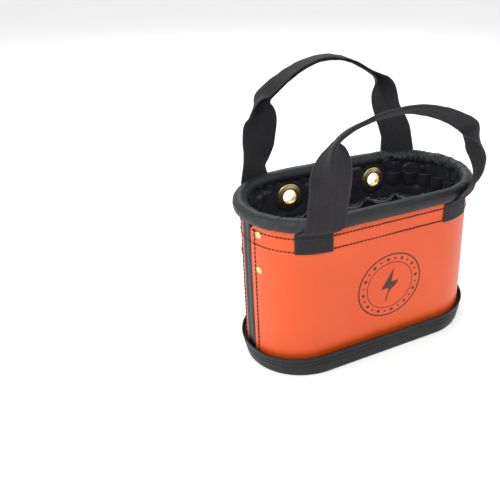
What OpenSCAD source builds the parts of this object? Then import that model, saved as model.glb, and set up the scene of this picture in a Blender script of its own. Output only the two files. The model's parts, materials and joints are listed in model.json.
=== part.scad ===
// Oval tool bucket organizer: hard plastic wall panels, padded rim, sewn boot at the base,
// black lining with a ring of open-top pockets, leather knife sheath, and two webbing handles.
// Millimetres. +X along the bucket, -Y to the front, +Z up, origin on the floor below the middle.

/* [Body] */
// Height of the padded rim's top above the floor
body_h = 254; // [240:1:270]
// Half length of the straight side at the floor
foot_s = 105; // [95:1:115]
// Radius of the round ends at the floor
foot_r = 80.4; // [75:0.2:85]
// Half length of the straight side at the rim's top
top_s = 86.5; // [80:0.5:95]
// Radius of the round ends at the rim's top
top_r = 90.7; // [86:0.1:94]
// Thickness of the plastic wall panels
panel_t = 2; // [1.5:0.1:2.5]

/* [Seams] */
// Width of the gap between the two panels at each end
seam_gap = 24; // [16:1:30]
// How far the end seams sit in front of the middle
seam_shift = 5.5; // [0:0.5:8]

/* [Rim] */
// Radius of the padded rim's tube
rim_r = 10.9; // [9.5:0.1:11.5]
// Thickness of the rim's cover
rim_cover_t = 1.2; // [0.8:0.1:1.6]

/* [Base] */
// Height of the boot round the base
boot_h = 34; // [26:1:40]
// Thickness of the boot's wall and floor
boot_t = 2.5; // [2:0.1:2.6]
// Radius of each drain hole
drain_r = 4.5; // [3:0.5:5]

/* [Pockets] */
// Number of pockets round the inside
pocket_n = 14; // [6:1:14]
// Width of each pocket along the wall
pocket_w = 55; // [45:1:55]
// Height of the pockets' top hem above the floor
pocket_top = 182; // [160:1:184]
// Height of the pockets' bottom seam above the floor
pocket_foot = 70; // [40:1:90]
// How far each pocket stands open from the wall
pocket_bulge = 21; // [14:1:22]

/* [Handles] */
// Width of the webbing
web_w = 50.8; // [40:0.4:51]
// Thickness of the webbing
web_t = 2.2; // [1.6:0.1:2.4]
// Angle from upright that the front handle leans out at rest
front_lean = 12; // [8:1:20]
// Angle from upright that the back handle leans out at rest
back_lean = 5; // [2:1:12]

/* [Hanging holes] */
// Radius of each hanging hole
grommet_r = 10.3; // [8:0.1:11]
// Distance of each hanging hole from the middle
grommet_x = 75; // [70:1:76]

/* [Hidden] */
facets = 64;
reach = 400;                               // longer than anything that it cuts
fit = 0.1;                                 // clearance between pieces that touch
wall_lean = atan((top_r - foot_r) / body_h);

rim_z = body_h - rim_r;                    // height of the rim tube's middle
rim_path_r = wall_r(rim_z) - 0.95;         // end radius of the rim tube's middle line
rim_s = wall_s(rim_z);
panel_top = rim_z + 1;
panel_foot = 16;                           // below this the boot's ends draw in too far
backing_t = 1.5;                           // the seam strip's part behind the panels
backing_w = 44;
lining_out = -panel_t - backing_t - 0.2;   // offset of the lining's outer face from the wall
lining_t = 1;
lining_in = lining_out - lining_t;
lining_top = rim_z - 3;

board_t = 3;
board_z = boot_t + 2 * fit;
floor_z = board_z + board_t + fit;         // underside of the lining's floor
boot_foot_s = 96.5;
boot_foot_r = 88.9;
boot_top_s = 101;
boot_top_r = 90.3;
welt_z = [20, boot_h - 5];
drain_spots = [[-75, -38], [75, -38], [-75, 38], [75, 38]];
eyelet_t = 0.7;
eyelet_flange = 3.4;

cusp_first = -155;                         // distance along the wall of the first pocket's edge
pocket_t = 1.2;

loop_n = 5;
loop_w = 27;
loop_first = 105;
loop_z = 199;
loop_h = 20;
loop_bulge = 9;
elastic_t = 1.4;

grommet_z = 211;
grommet_flange = 19.5;
grommet_wall = 1;
patch_r = 21.5;
patch_t = 1.2;

rivet_z = [166.7, 220.6];
rivet_turn = 22.2;                         // angle of each rivet from the bucket's left end
rivet_cap_r = 5.7;
rivet_shaft_r = 2.2;
sheath_t = 2.5;
sheath_w = 76;
sheath_z = [88, 231];
pouch_w = 50;
pouch_z = [98, 222];
pouch_bulge = 16;
pouch_a = -(wall_s(160) + PI / 2 * wall_r(160)); // distance along the wall to the left end
stud_z = [112, 208];                       // the rivets that close the pouch's sides
stud_inset = 4;                            // from the pouch's side edge
stud_r = 3.5;
stud_shaft_r = 1.5;
stud_gap = 1.6;                            // from the pouch to the head, with room for the leather's slope

// Both handles turn about a line on the webbing's outer face, level with the rim's top.
hinge_y = 105.5;
hinge_z = 256;
tab_foot = 203;
tab_top = 244;
front_tab_a = 115.5;                       // distance along the wall of a sewn tab's middle
front_left_top_a = 102;                    // the same where the webbing leaves the rim
front_right_top_a = 132;
back_tab_a = 124;
fold_slack = 0.1;                          // half the gap between the grip's two layers

// Stations along each handle's fold line, left to right: x, height above the hinge line, distance
// inside the plane that leans through it, direction of the fold from straight inward, its tilt,
// and how far the fold stands open.
front_route = [
    [-104, 0.5, 7, 12, 0, 90], [-103.5, 24, 6, 16, 0, 90], [-104, 48, 5, 20, 0, 88],
    [-105.5, 70, 4, 22, 0, 66], [-107, 88, 3, 26, -4, 34], [-105, 104, 3, 26, -14, 6],
    [-92, 118, 3, 12, -24, 0], [-66, 131, 3, 4, -29, 0], [-34, 139, 3, 0, -30, 0],
    [0, 141, 3, 0, -30, 0], [32, 136.5, 3, -4, -34, 0], [62, 127, 3, -14, -40, 0],
    [88, 115.5, 3, -30, -40, 2], [107, 104, 4, -66, -28, 20], [114, 86, 5, -88, -8, 60],
    [119, 64, 8, -92, 0, 86], [127, 38, 12, -80, 0, 90], [135, 14, 13, -46, 0, 90],
    [137.5, 0.5, 12, -28, 0, 90]
];
back_route = [
    [-127.5, 0.5, 12, 26, 0, 90], [-122.5, 14, 11, 28, 0, 90], [-113, 40, 8, 4, 0, 90],
    [-108.5, 60, 6, 0, 0, 86], [-107, 78, 5, 4, 0, 64], [-111, 96, 4, 10, -8, 30],
    [-106, 111, 3, 14, -22, 6], [-89, 123, 3, 10, -22, 0], [-67, 135, 3, 4, -14, 0],
    [-39, 146, 3, 0, -5, 0], [-10, 152, 3, 0, 0, 0], [18, 151, 3, 0, 0, 0],
    [44, 143.5, 3, 0, 0, 0], [66, 132.5, 3, 0, -4, 0], [86, 119.5, 3, 2, -4, 6],
    [96, 105, 3, -4, -4, 38], [103, 83, 5, 0, 0, 72], [113.5, 55, 7, 5, 0, 90],
    [125, 26, 10, -14, 0, 90], [128, 0.5, 12, -26, 0, 90]
];
steps_each = 3;

function pocket_name(i) = str("pocket_", i < 10 ? "0" : "", i);

// ---- The wall's shape -------------------------------------------------------------------------

// The wall's outer face is an oval of two straight sides and two round ends at every height.
function wall_s(z) = foot_s + (top_s - foot_s) * z / body_h;
function wall_r(z) = foot_r + (top_r - foot_r) * z / body_h;
function boot_s(z) = boot_foot_s + (boot_top_s - boot_foot_s) * z / boot_h;
function boot_r(z) = boot_foot_r + (boot_top_r - boot_foot_r) * z / boot_h;

// Outward direction, as an angle from +Y towards +X, at distance a along the wall from the
// middle of its back. The distance is measured on the wall's outer face.
function wall_turn(a, z) =
    let (s = wall_s(z), r = wall_r(z), d = abs(a), arc = (d - s) / r * 180 / PI)
    sign(a) * min(max(arc, 0), 180);
function wall_out(a, z) = [sin(wall_turn(a, z)), cos(wall_turn(a, z)), 0];
function wall_x(a, z) =
    let (s = wall_s(z), end_a = s + PI * wall_r(z))
    abs(a) <= s ? a : sign(a) * (abs(a) > end_a ? s - (abs(a) - end_a) : s);
function wall_point(a, z, off) =
    [wall_x(a, z), 0, z] + (wall_r(z) + off) * wall_out(a, z);

function oval_ring(s, r, z) = [for (side = [1, -1], k = [0:facets / 2])
    let (turn = -side * 90 + 360 * k / facets)
    [side * s + r * cos(turn), r * sin(turn), z]];

// A solid between two ovals at different heights.
module loft(low, high) {
    n = len(low);
    sides = [for (i = [0:n - 1]) let (j = (i + 1) % n) [i, i + n, j + n, j]];
    polyhedron(
        points = concat(low, high),
        faces = concat([[for (i = [0:n - 1]) i]], [[for (i = [0:n - 1]) 2 * n - 1 - i]], sides)
    );
}

module wall_loft(off, z0, z1)
    loft(oval_ring(wall_s(z0), wall_r(z0) + off, z0), oval_ring(wall_s(z1), wall_r(z1) + off, z1));

module boot_loft(off, z0, z1)
    loft(oval_ring(boot_s(z0), boot_r(z0) + off, z0), oval_ring(boot_s(z1), boot_r(z1) + off, z1));

module wall_shell(off_out, off_in, z0, z1) difference() {
    wall_loft(off_out, z0, z1);
    wall_loft(off_in, z0 - 1, z1 + 1);
}

module slab_y(y0, y1, side = 0)
    translate([side == 0 ? -reach / 2 : (side < 0 ? -reach : 0), y0, -1])
        cube([reach, y1 - y0, reach]);

// Sweeps a profile, whose x is the distance from the middle line, round an oval.
module oval_sweep(s) {
    for (side = [-1, 1]) translate([side * s, 0, 0]) rotate([0, 0, side > 0 ? -90 : 90])
        rotate_extrude(angle = 180, $fn = facets) children();
    for (side = [-1, 1]) translate([side * -s, 0, 0]) rotate([90, 0, side * 90])
        linear_extrude(2 * s) children();
}

// ---- Thick sheets from grids of points --------------------------------------------------------

// A closed sheet between two grids of the same size, as triangles.
module thick_sheet(outer, inner) {
    nu = len(outer);
    nv = len(outer[0]);
    n = nu * nv;
    function at(layer, i, j) = layer * n + i * nv + j;
    function quad(a, b, c, d) = [[a, b, c], [a, c, d]];
    skin = [for (i = [0:nu - 2], j = [0:nv - 2]) each concat(
        quad(at(0, i, j), at(0, i + 1, j), at(0, i + 1, j + 1), at(0, i, j + 1)),
        quad(at(1, i, j), at(1, i, j + 1), at(1, i + 1, j + 1), at(1, i + 1, j)))];
    ends = [for (j = [0:nv - 2]) each concat(
        quad(at(0, 0, j), at(0, 0, j + 1), at(1, 0, j + 1), at(1, 0, j)),
        quad(at(0, nu - 1, j), at(1, nu - 1, j), at(1, nu - 1, j + 1), at(0, nu - 1, j + 1)))];
    edges = [for (i = [0:nu - 2]) each concat(
        quad(at(0, i, 0), at(1, i, 0), at(1, i + 1, 0), at(0, i + 1, 0)),
        quad(at(0, i, nv - 1), at(0, i + 1, nv - 1), at(1, i + 1, nv - 1), at(1, i, nv - 1)))];
    polyhedron(
        points = [for (grid = [outer, inner], row = grid, p = row) p],
        faces = concat(skin, ends, edges)
    );
}

// ---- Shell: panels, seams and rim -------------------------------------------------------------

module rivet_holes(r) for (z = rivet_z, side = [-1, 1])
    at_rivet(z, side) translate([0, 0, -20]) cylinder(r = r, h = 40, $fn = 24);

// Moves to a rivet on the wall's outer face, with +Z pointing out of the wall.
module at_rivet(z, side)
    translate([-wall_s(z), 0, z]) rotate([0, 0, 180 + side * rivet_turn])
        translate([wall_r(z), 0, 0]) rotate([0, 90 + wall_lean, 0]) children();

// Moves to a hanging hole on the back wall's outer face, with +Z pointing out of the wall.
module at_grommet(side)
    translate([side * grommet_x, wall_r(grommet_z), grommet_z])
        rotate([-90 - wall_lean, 0, 0]) children();

module hang_holes(r) for (side = [-1, 1])
    at_grommet(side) translate([0, 0, -20]) cylinder(r = r, h = 40, $fn = 48);

module front_panel() color("orangered") difference() {
    intersection() {
        wall_shell(0, -panel_t, panel_foot, panel_top);
        slab_y(-reach, -seam_shift - seam_gap / 2);
    }
    rivet_holes(rivet_shaft_r + fit);
}

module back_panel() color("orangered") difference() {
    intersection() {
        wall_shell(0, -panel_t, panel_foot, panel_top);
        slab_y(-seam_shift + seam_gap / 2, reach);
    }
    rivet_holes(rivet_shaft_r + fit);
    hang_holes(grommet_r + grommet_wall + fit);
}

module seam_strip(side) color("dimgray") {
    intersection() {
        wall_shell(0.3, -panel_t - backing_t, panel_foot, panel_top);
        slab_y(-seam_shift - seam_gap / 2 + fit, -seam_shift + seam_gap / 2 - fit, side);
    }
    intersection() {
        wall_shell(-panel_t - fit, -panel_t - backing_t, panel_foot, panel_top);
        slab_y(-seam_shift - backing_w / 2, -seam_shift + backing_w / 2, side);
    }
}

// The slot in the rim that the panels and the lining stand in.
module rim_slot()
    translate([wall_r(rim_z - rim_r) + lining_in - 0.4, rim_z - 2 * rim_r])
        square([-lining_in + 1.4, 2 * rim_r + 2]);

module rim_core() color("gray") oval_sweep(rim_s) difference() {
    translate([rim_path_r, rim_z]) circle(rim_r - rim_cover_t - fit, $fn = 48);
    rim_slot();
}

module rim_cover() color("#2c3033") oval_sweep(rim_s) difference() {
    translate([rim_path_r, rim_z]) circle(rim_r, $fn = 48);
    translate([rim_path_r, rim_z]) circle(rim_r - rim_cover_t, $fn = 48);
    rim_slot();
}

// ---- Base and lining --------------------------------------------------------------------------

module drain_holes(r, z0, z1) for (spot = drain_spots)
    translate([spot[0], spot[1], z0]) cylinder(r = r, h = z1 - z0, $fn = 32);

module base_boot() color("#303236") difference() {
    boot_loft(0, 0, boot_h);
    boot_loft(-boot_t, boot_t, boot_h + 1);
    drain_holes(drain_r + eyelet_t + fit / 2, -1, boot_t + 1);
    drain_holes(drain_r + eyelet_flange + 0.2, -1, eyelet_t + 0.4);
}

module base_welt() color("#1d1f22") difference() {
    boot_loft(-boot_t - 0.2, welt_z[0], welt_z[1]);
    wall_loft(0.5, welt_z[0] - 1, welt_z[1] + 1);
}

module floor_board() color("saddlebrown") difference() {
    wall_loft(lining_out - fit, board_z, board_z + board_t);
    drain_holes(drain_r + eyelet_t + fit / 2, 0, floor_z);
}

module lining_floor() color("#17181c") difference() {
    wall_loft(lining_out - fit, floor_z, floor_z + lining_t);
    drain_holes(drain_r + eyelet_t + fit / 2, 0, floor_z + 5);
}

module lining_wall() color("#17181c") difference() {
    wall_shell(lining_out, lining_in, floor_z + lining_t + fit, lining_top);
    rivet_holes(rivet_shaft_r + fit);
    hang_holes(grommet_r + grommet_wall + fit);
}

module drain_eyelets() color("goldenrod") for (spot = drain_spots)
    translate([spot[0], spot[1], 0]) difference() {
        union() {
            translate([0, 0, 0.3]) cylinder(r = drain_r + eyelet_t, h = floor_z + 1.7, $fn = 32);
            translate([0, 0, 0.3]) cylinder(r = drain_r + eyelet_flange, h = eyelet_t, $fn = 32);
            translate([0, 0, floor_z + lining_t + 0.05])
                cylinder(r = drain_r + eyelet_flange, h = eyelet_t, $fn = 32);
        }
        translate([0, 0, -1]) cylinder(r = drain_r, h = floor_z + 10, $fn = 32);
    }

// ---- Pockets, loops and sheath ----------------------------------------------------------------

// A sheet sewn to the wall along both upright edges and standing open between them.
// It runs from a0 to a1 along the wall, from z0 to z1, and opens by foot_open to top_open.
module wall_pouch(a0, a1, z0, z1, base, foot_open, top_open, t, squareness, nu, nv) {
    function lift(u) = 1 - pow(abs(2 * u - 1), squareness);
    function grid(extra) = [for (i = [0:nu]) [for (j = [0:nv])
        let (u = i / nu, v = j / nv, z = z0 + (z1 - z0) * v,
             open = foot_open + (top_open - foot_open) * v)
        wall_point(a0 + (a1 - a0) * u, z, base - open * lift(u) - extra)]];
    thick_sheet(grid(0), grid(t));
}

function cusp(i) = cusp_first + pocket_w * i;

// Distances past the middle of the front come round to the other side.
module pocket(i) {
    far = cusp(i) > 2 * (wall_s(pocket_top) + PI / 2 * wall_r(pocket_top));
    pitch = 2 * (2 * wall_s(pocket_top) + PI * wall_r(pocket_top));
    a0 = cusp(i - 1) + 0.4 - (far ? pitch : 0);
    a1 = cusp(i) - 0.4 - (far ? pitch : 0);
    color("#22242a") wall_pouch(a0, a1, pocket_foot, pocket_top, lining_in - 0.3, 0, pocket_bulge,
        pocket_t, 2.4, 10, 4);
}

module tool_loop_band() color("#2a2a31") for (i = [0:loop_n - 1])
    wall_pouch(loop_first + loop_w * i + 0.3, loop_first + loop_w * (i + 1) - 0.3, loop_z,
        loop_z + loop_h, lining_in - 0.3, loop_bulge, loop_bulge, elastic_t, 3, 8, 1);

module sheath_back() color("peru") difference() {
    intersection() {
        wall_shell(lining_in - fit, lining_in - sheath_t, sheath_z[0], sheath_z[1]);
        slab_y(-sheath_w / 2, sheath_w / 2, -1);
    }
    rivet_holes(rivet_shaft_r + fit);
    stud_holes();
}

module sheath_pouch() color("sienna") difference() {
    wall_pouch(pouch_a - pouch_w / 2, pouch_a + pouch_w / 2, pouch_z[0], pouch_z[1],
        lining_in - sheath_t - 0.3, 1, pouch_bulge, sheath_t, 2.6, 10, 4);
    stud_holes();
}

module at_stud(z, side) {
    turn = side * (pouch_w / 2 - stud_inset) / wall_r(z) * 180 / PI;
    translate([-wall_s(z), 0, z]) rotate([0, 0, 180 + turn])
        translate([wall_r(z) + lining_in - sheath_t, 0, 0]) rotate([0, 90 + wall_lean, 0]) children();
}

module stud_holes() for (z = stud_z, side = [-1, 1])
    at_stud(z, side) translate([0, 0, -20]) cylinder(r = stud_shaft_r + fit, h = 25, $fn = 24);

// How far a stud's head sits inside the sheath's back, clear of the pouch's bulge at that height.
function stud_seat(z) =
    let (rise = (z - pouch_z[0]) / (pouch_z[1] - pouch_z[0]))
    let (inner_edge = (pouch_w / 2 - stud_inset - stud_r) / (pouch_w / 2))
    sheath_t + stud_gap + (1 + (pouch_bulge - 1) * rise) * (1 - pow(inner_edge, 2.6));

module sheath_studs() color("gold") for (z = stud_z, side = [-1, 1]) at_stud(z, side) {
    translate([0, 0, -stud_seat(z)])
        cylinder(r = stud_shaft_r, h = stud_seat(z) + sheath_t - 0.2, $fn = 24);
    translate([0, 0, -stud_seat(z) - 1.1]) cylinder(r = stud_r, h = 1.2, $fn = 24);
}

module panel_rivets() color("gold") for (z = rivet_z, side = [-1, 1]) at_rivet(z, side) {
    translate([0, 0, 0.5]) cylinder(r1 = rivet_cap_r, r2 = rivet_cap_r - 0.9, h = 1.2, $fn = 32);
    translate([0, 0, lining_in - sheath_t - 2.2])
        cylinder(r = rivet_shaft_r, h = -lining_in + sheath_t + 2.9, $fn = 24);
}

module rivet_burrs() color("gold") for (z = rivet_z, side = [-1, 1]) at_rivet(z, side)
    translate([0, 0, lining_in - sheath_t - 1.7]) difference() {
        cylinder(r = 4.6, h = 1.1, $fn = 32);
        translate([0, 0, -1]) cylinder(r = rivet_shaft_r + fit / 2, h = 4, $fn = 24);
    }

// ---- Hanging grommets -------------------------------------------------------------------------

patch_gap = 0.45;                          // keeps a flat washer clear of the wall's curve
grommet_in = lining_in - patch_t - patch_gap - 0.1;   // inner end of the wall stack that a grommet clamps

module hang_grommet(side) color("gold") at_grommet(side) difference() {
    union() {
        translate([0, 0, grommet_in - 1.9])
            cylinder(r = grommet_r + grommet_wall, h = 3.2 - grommet_in, $fn = 48);
        translate([0, 0, grommet_in]) rotate([180, 0, 0])
            cylinder(r1 = grommet_flange, r2 = grommet_r + 4, h = 1.9, $fn = 48);
    }
    translate([0, 0, -20]) cylinder(r = grommet_r, h = 40, $fn = 48);
}

module grommet_ring(side) color("gold") at_grommet(side) translate([0, 0, 0.2]) difference() {
    cylinder(r1 = grommet_flange - 1, r2 = grommet_r + 4, h = 1.1, $fn = 48);
    translate([0, 0, -1]) cylinder(r = grommet_r + grommet_wall + fit / 2, h = 5, $fn = 48);
}

module grommet_patches() color("black") for (side = [-1, 1]) at_grommet(side)
    translate([0, 0, lining_in - patch_t - patch_gap]) difference() {
        cylinder(r = patch_r, h = patch_t, $fn = 48);
        translate([0, 0, -1]) cylinder(r = grommet_r + grommet_wall + fit, h = 5, $fn = 48);
    }

// ---- Handles ----------------------------------------------------------------------------------

function mix(a, b, k) = a + (b - a) * k;
function ease(k) = k * k * (3 - 2 * k);

// How far the rim stands out from the wall's outer face at height z.
function rim_stand(z) =
    let (dz = min(z - rim_z, 0), side = rim_r * rim_r - dz * dz)
    side <= 0 ? 0 : rim_path_r + sqrt(side) - wall_r(z);
function tab_off(z) = max(0.2, rim_stand(z) + 0.3);

// One end of a handle, flat on the wall and then up round the outside of the rim.
// facing is -1 for the front and 1 for the back; side is -1 for the left and 1 for the right.
// The middle slides from foot_a to top_a along the wall as the webbing passes the rim.
module handle_tab(facing, side, foot_a, top_a) {
    heights = [tab_foot, 217, 229, 231.6, 232.6, 233.8, 235.6, 237.6, 240.6, tab_top];
    function slide(z) = ease(min(max((z - 229) / (tab_top - 229), 0), 1));
    function along(u, z) = side * (mix(foot_a, top_a, slide(z)) + (u - 0.5) * web_w);
    function spot(u, z, extra) =
        let (p = wall_point(along(u, z), z, tab_off(z) + extra)) [p[0], facing * p[1], p[2]];
    function grid(extra) = [for (i = [0:8]) [for (z = heights) spot(i / 8, z, extra)]];
    if (facing * side > 0) thick_sheet(grid(web_t), grid(0));
    else thick_sheet(grid(0), grid(web_t));
}

function catmull(p0, p1, p2, p3, t) =
    0.5 * (2 * p1 + (p2 - p0) * t + (2 * p0 - 5 * p1 + 4 * p2 - p3) * t * t
           + (3 * p1 - p0 - 3 * p2 + p3) * t * t * t);
function route_at(route, k) =
    let (n = len(route) - 1, i = min(floor(k), n - 1), t = k - i)
    catmull(route[max(i - 1, 0)], route[i], route[i + 1], route[min(i + 2, n)], t);

// A station's fold line point, fold direction g, and sideways direction p, leaned out by lean.
function station_point(facing, lean, st) =
    [st[0], facing * (hinge_y + st[1] * sin(lean) - st[2]), hinge_z + st[1] * cos(lean)];
function unit(v) = v / norm(v);
function fold_dir(facing, st, tangent) =
    let (g = [sin(st[3]) * cos(st[4]), -facing * cos(st[3]) * cos(st[4]), sin(st[4])])
    unit(g - (g * tangent) * tangent);

module handle_loop(facing, lean, route) {
    n = (len(route) - 1) * steps_each;
    shares = [1, 0.66, 0.33, 0.06, 0, -0.06, -0.33, -0.66, -1];
    stations = [for (k = [0:n]) route_at(route, k / steps_each)];
    line = [for (st = stations) station_point(facing, lean, st)];
    function tangent(k) = unit(line[min(k + 1, n)] - line[max(k - 1, 0)]);
    function across(k, share, extra) =
        let (st = stations[k], t = tangent(k), g = fold_dir(facing, st, t), p = cross(t, g),
             open = min(max(st[5], 0), 90), way = share >= 0 ? 1 : -1,
             w = cos(open) * g + way * sin(open) * p,
             out = -sin(open) * g + way * cos(open) * p)
        share == 0 ? line[k] - extra * g
                   : line[k] + abs(share) * web_w / 2 * w + (extra + fold_slack) * out;
    function shifted(k, share, extra) =
        let (st = stations[k], g = fold_dir(facing, st, tangent(k))) across(k, share, extra) + web_t * g;
    function grid(extra) = [for (k = [0:n]) [for (s = shares) shifted(k, s, extra)]];
    if (facing > 0) thick_sheet(grid(web_t), grid(0));
    else thick_sheet(grid(0), grid(web_t));
}

module front_handle_tab(side) color("#26262b")
    handle_tab(-1, side, front_tab_a, side < 0 ? front_left_top_a : front_right_top_a);
module back_handle_tab(side) color("#26262b") handle_tab(1, side, back_tab_a, back_tab_a);
module front_handle_loop() color("#26262b") handle_loop(-1, front_lean, front_route);
module back_handle_loop() color("#26262b") handle_loop(1, back_lean, back_route);

// ---- What is drawn ----------------------------------------------------------------------------

front_panel();
back_panel();
seam_strip(-1);  // left_seam_strip
seam_strip(1);  // right_seam_strip
rim_core();
rim_cover();
lining_wall();
lining_floor();
floor_board();
base_boot();
base_welt();
drain_eyelets();
sheath_back();
sheath_pouch();
sheath_studs();
panel_rivets();
rivet_burrs();
tool_loop_band();
hang_grommet(-1);  // left_hang_grommet
hang_grommet(1);  // right_hang_grommet
grommet_ring(-1);  // left_grommet_ring
grommet_ring(1);  // right_grommet_ring
grommet_patches();
front_handle_tab(-1);  // front_handle_left_tab
front_handle_tab(1);  // front_handle_right_tab
back_handle_tab(-1);  // back_handle_left_tab
back_handle_tab(1);  // back_handle_right_tab
front_handle_loop();
back_handle_loop();
for (i = [1:pocket_n]) pocket(i);
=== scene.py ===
import json
import math

import bmesh
import bpy
import numpy as np
from mathutils import Matrix, Vector


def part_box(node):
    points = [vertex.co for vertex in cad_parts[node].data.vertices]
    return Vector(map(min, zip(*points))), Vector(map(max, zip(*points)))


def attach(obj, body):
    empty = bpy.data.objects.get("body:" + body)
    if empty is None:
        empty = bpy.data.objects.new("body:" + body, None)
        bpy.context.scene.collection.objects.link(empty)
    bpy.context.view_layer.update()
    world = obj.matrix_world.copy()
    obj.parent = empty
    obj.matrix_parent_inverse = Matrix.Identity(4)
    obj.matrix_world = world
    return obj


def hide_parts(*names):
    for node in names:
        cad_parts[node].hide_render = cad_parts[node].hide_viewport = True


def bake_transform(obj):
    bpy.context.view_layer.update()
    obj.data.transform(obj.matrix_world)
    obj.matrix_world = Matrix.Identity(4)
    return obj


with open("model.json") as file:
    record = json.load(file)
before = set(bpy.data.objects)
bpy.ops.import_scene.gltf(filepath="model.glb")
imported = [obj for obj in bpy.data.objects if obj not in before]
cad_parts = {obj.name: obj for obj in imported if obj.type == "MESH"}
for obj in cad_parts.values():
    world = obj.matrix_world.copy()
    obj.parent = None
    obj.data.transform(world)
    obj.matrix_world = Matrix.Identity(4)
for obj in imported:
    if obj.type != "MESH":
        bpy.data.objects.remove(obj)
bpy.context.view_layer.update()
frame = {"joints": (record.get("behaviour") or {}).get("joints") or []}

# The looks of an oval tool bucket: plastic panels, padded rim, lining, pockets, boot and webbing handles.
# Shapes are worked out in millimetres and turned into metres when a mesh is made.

MM = 0.001
BUCKET = "bucket"


# ---- The wall's shape, as in the CAD: an oval of straight sides and round ends at every height ----

def node_mm(name):
    """A CAD node's lowest and highest corner, in millimetres."""
    low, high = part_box(name)
    return np.array(low) / MM, np.array(high) / MM


boot_low, boot_high = node_mm("base_boot")
rim_low, rim_high = node_mm("rim_cover")
panel_low, panel_high = node_mm("front_panel")
strip_low, strip_high = node_mm("left_seam_strip")
tab_low, tab_high = node_mm("front_handle_left_tab")
pocket_low, pocket_high = node_mm("pocket_03")
joint_at = {j["name"]: np.array(j["pos_m"]) / MM for j in frame["joints"]}

BODY_H = rim_high[2]
RIM_R = (rim_high[2] - rim_low[2]) / 2
RIM_Z = rim_high[2] - RIM_R
FOOT_S, FOOT_R = 105.0, 80.4      # half straight length and end radius at the floor
TOP_S, TOP_R = 86.5, 90.7         # and at the rim's top
RIM_PATH_R = rim_high[1] - RIM_R
PANEL_T = 2.0
LINING_IN = -4.7                  # offset of the lining's inner face from the wall's outer face
SEAM_SHIFT, SEAM_GAP = 5.5, 24.0
BOOT_H = boot_high[2]
BOOT_FOOT = (96.5, 88.9)
BOOT_TOP = (101.0, 90.3)
WEB_W, WEB_T = 50.8, 2.2
POCKET_N, POCKET_W, FIRST_CUSP = 14, 55.0, -155.0
POCKET_TOP, POCKET_FOOT, POCKET_BULGE = pocket_high[2], pocket_low[2], 21.0
GROMMET_X, GROMMET_Z, GROMMET_R = 75.0, 211.0, 10.3
GROMMET_HOLE_R = GROMMET_R + 1.2  # the hole in the wall and lining that a grommet's tube goes through
RIVET_Z, RIVET_TURN = (166.7, 220.6), 22.2
DRAIN_SPOTS = [(-75, -38), (75, -38), (-75, 38), (75, 38)]
DRAIN_HOLE_R = 5.2                # the holes that the drain eyelets sit in
HINGE_Y, HINGE_Z = joint_at["back_handle_swing"][1], joint_at["back_handle_swing"][2]


def wall_s(z):
    return FOOT_S + (TOP_S - FOOT_S) * z / BODY_H


def wall_r(z):
    return FOOT_R + (TOP_R - FOOT_R) * z / BODY_H


def oval_point(a, s, r, off=0.0):
    """Point and outward direction at distance a along the oval, measured from the middle of its back."""
    a, s, r, off = np.broadcast_arrays(*(np.asarray(v, float) for v in (a, s, r, off)))
    around = 4 * s + 2 * math.pi * r
    a = a - around * np.round(a / around)
    side, d = np.where(a < 0, -1.0, 1.0), np.abs(a)
    turn = np.clip((d - s) / r, 0, math.pi)
    far = np.maximum(d - s - math.pi * r, 0)
    x = np.where(d <= s, a, side * (s - far))
    out_x, out_y = side * np.sin(turn), np.cos(turn)
    return x + (r + off) * out_x, (r + off) * out_y, out_x, out_y


def wall_point(a, z, off=0.0):
    """Point on the wall, off millimetres outside its outer face."""
    z = np.asarray(z, float)
    x, y, _, _ = oval_point(a, wall_s(z), wall_r(z), off)
    return np.stack(np.broadcast_arrays(x, y, z), -1)


def wall_out(a, z):
    _, _, ox, oy = oval_point(a, wall_s(z), wall_r(z))
    return np.stack(np.broadcast_arrays(ox, oy, 0 * np.asarray(z, float)), -1)


def half_round(z):
    """Distance along the wall from the middle of the back to the middle of the front."""
    return 2 * wall_s(z) + math.pi * wall_r(z)


def end_a(z, y):
    """Distance along the wall to the place at the end where the wall has this y."""
    return wall_s(z) + wall_r(z) * np.arccos(np.clip(y / wall_r(z), -1, 1))


# ---- Smooth noise made of a few seeded waves -------------------------------------------------

class Waves:
    """A smooth random field over any number of coordinates, from about -1 to 1."""

    def __init__(self, seed, dims, shortest, longest, count=14):
        rng = np.random.default_rng(seed)
        length = np.exp(rng.uniform(math.log(shortest), math.log(longest), count))
        way = rng.normal(size=(count, dims))
        way /= np.linalg.norm(way, axis=1)[:, None]
        self.k = 2 * math.pi * way / length[:, None]
        self.shift = rng.uniform(0, 2 * math.pi, count)
        self.size = np.sqrt(length / longest)
        self.size /= np.sqrt((self.size ** 2).sum() / 2) * 1.6

    def __call__(self, *coords):
        p = np.stack(np.broadcast_arrays(*coords), -1)
        return (np.sin(p @ self.k.T + self.shift) * self.size).sum(-1)


def smooth(x, low, high):
    t = np.clip((np.asarray(x, float) - low) / (high - low), 0, 1)
    return t * t * (3 - 2 * t)


def unit(v):
    return v / np.maximum(np.linalg.norm(v, axis=-1, keepdims=True), 1e-9)


# ---- Meshes from grids ------------------------------------------------------------------------

def new_object(name, verts, faces, mat, uvs=None, smooth_shade=True):
    """An object from points in millimetres; uvs holds one (u, v) for each point, in millimetres."""
    mesh = bpy.data.meshes.new(name)
    mesh.from_pydata((np.asarray(verts, float) * MM).tolist(), [], [list(f) for f in faces])
    if uvs is not None:
        layer = mesh.uv_layers.new(name="along")
        corner = np.array([loop.vertex_index for loop in mesh.loops])
        layer.data.foreach_set("uv", (np.asarray(uvs, float)[corner] * MM).astype(np.float32).ravel())
    mesh.polygons.foreach_set("use_smooth", [smooth_shade] * len(mesh.polygons))
    mesh.update()
    obj = bpy.data.objects.new(name, mesh)
    bpy.context.scene.collection.objects.link(obj)
    mesh.materials.append(mat)
    return obj


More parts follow.
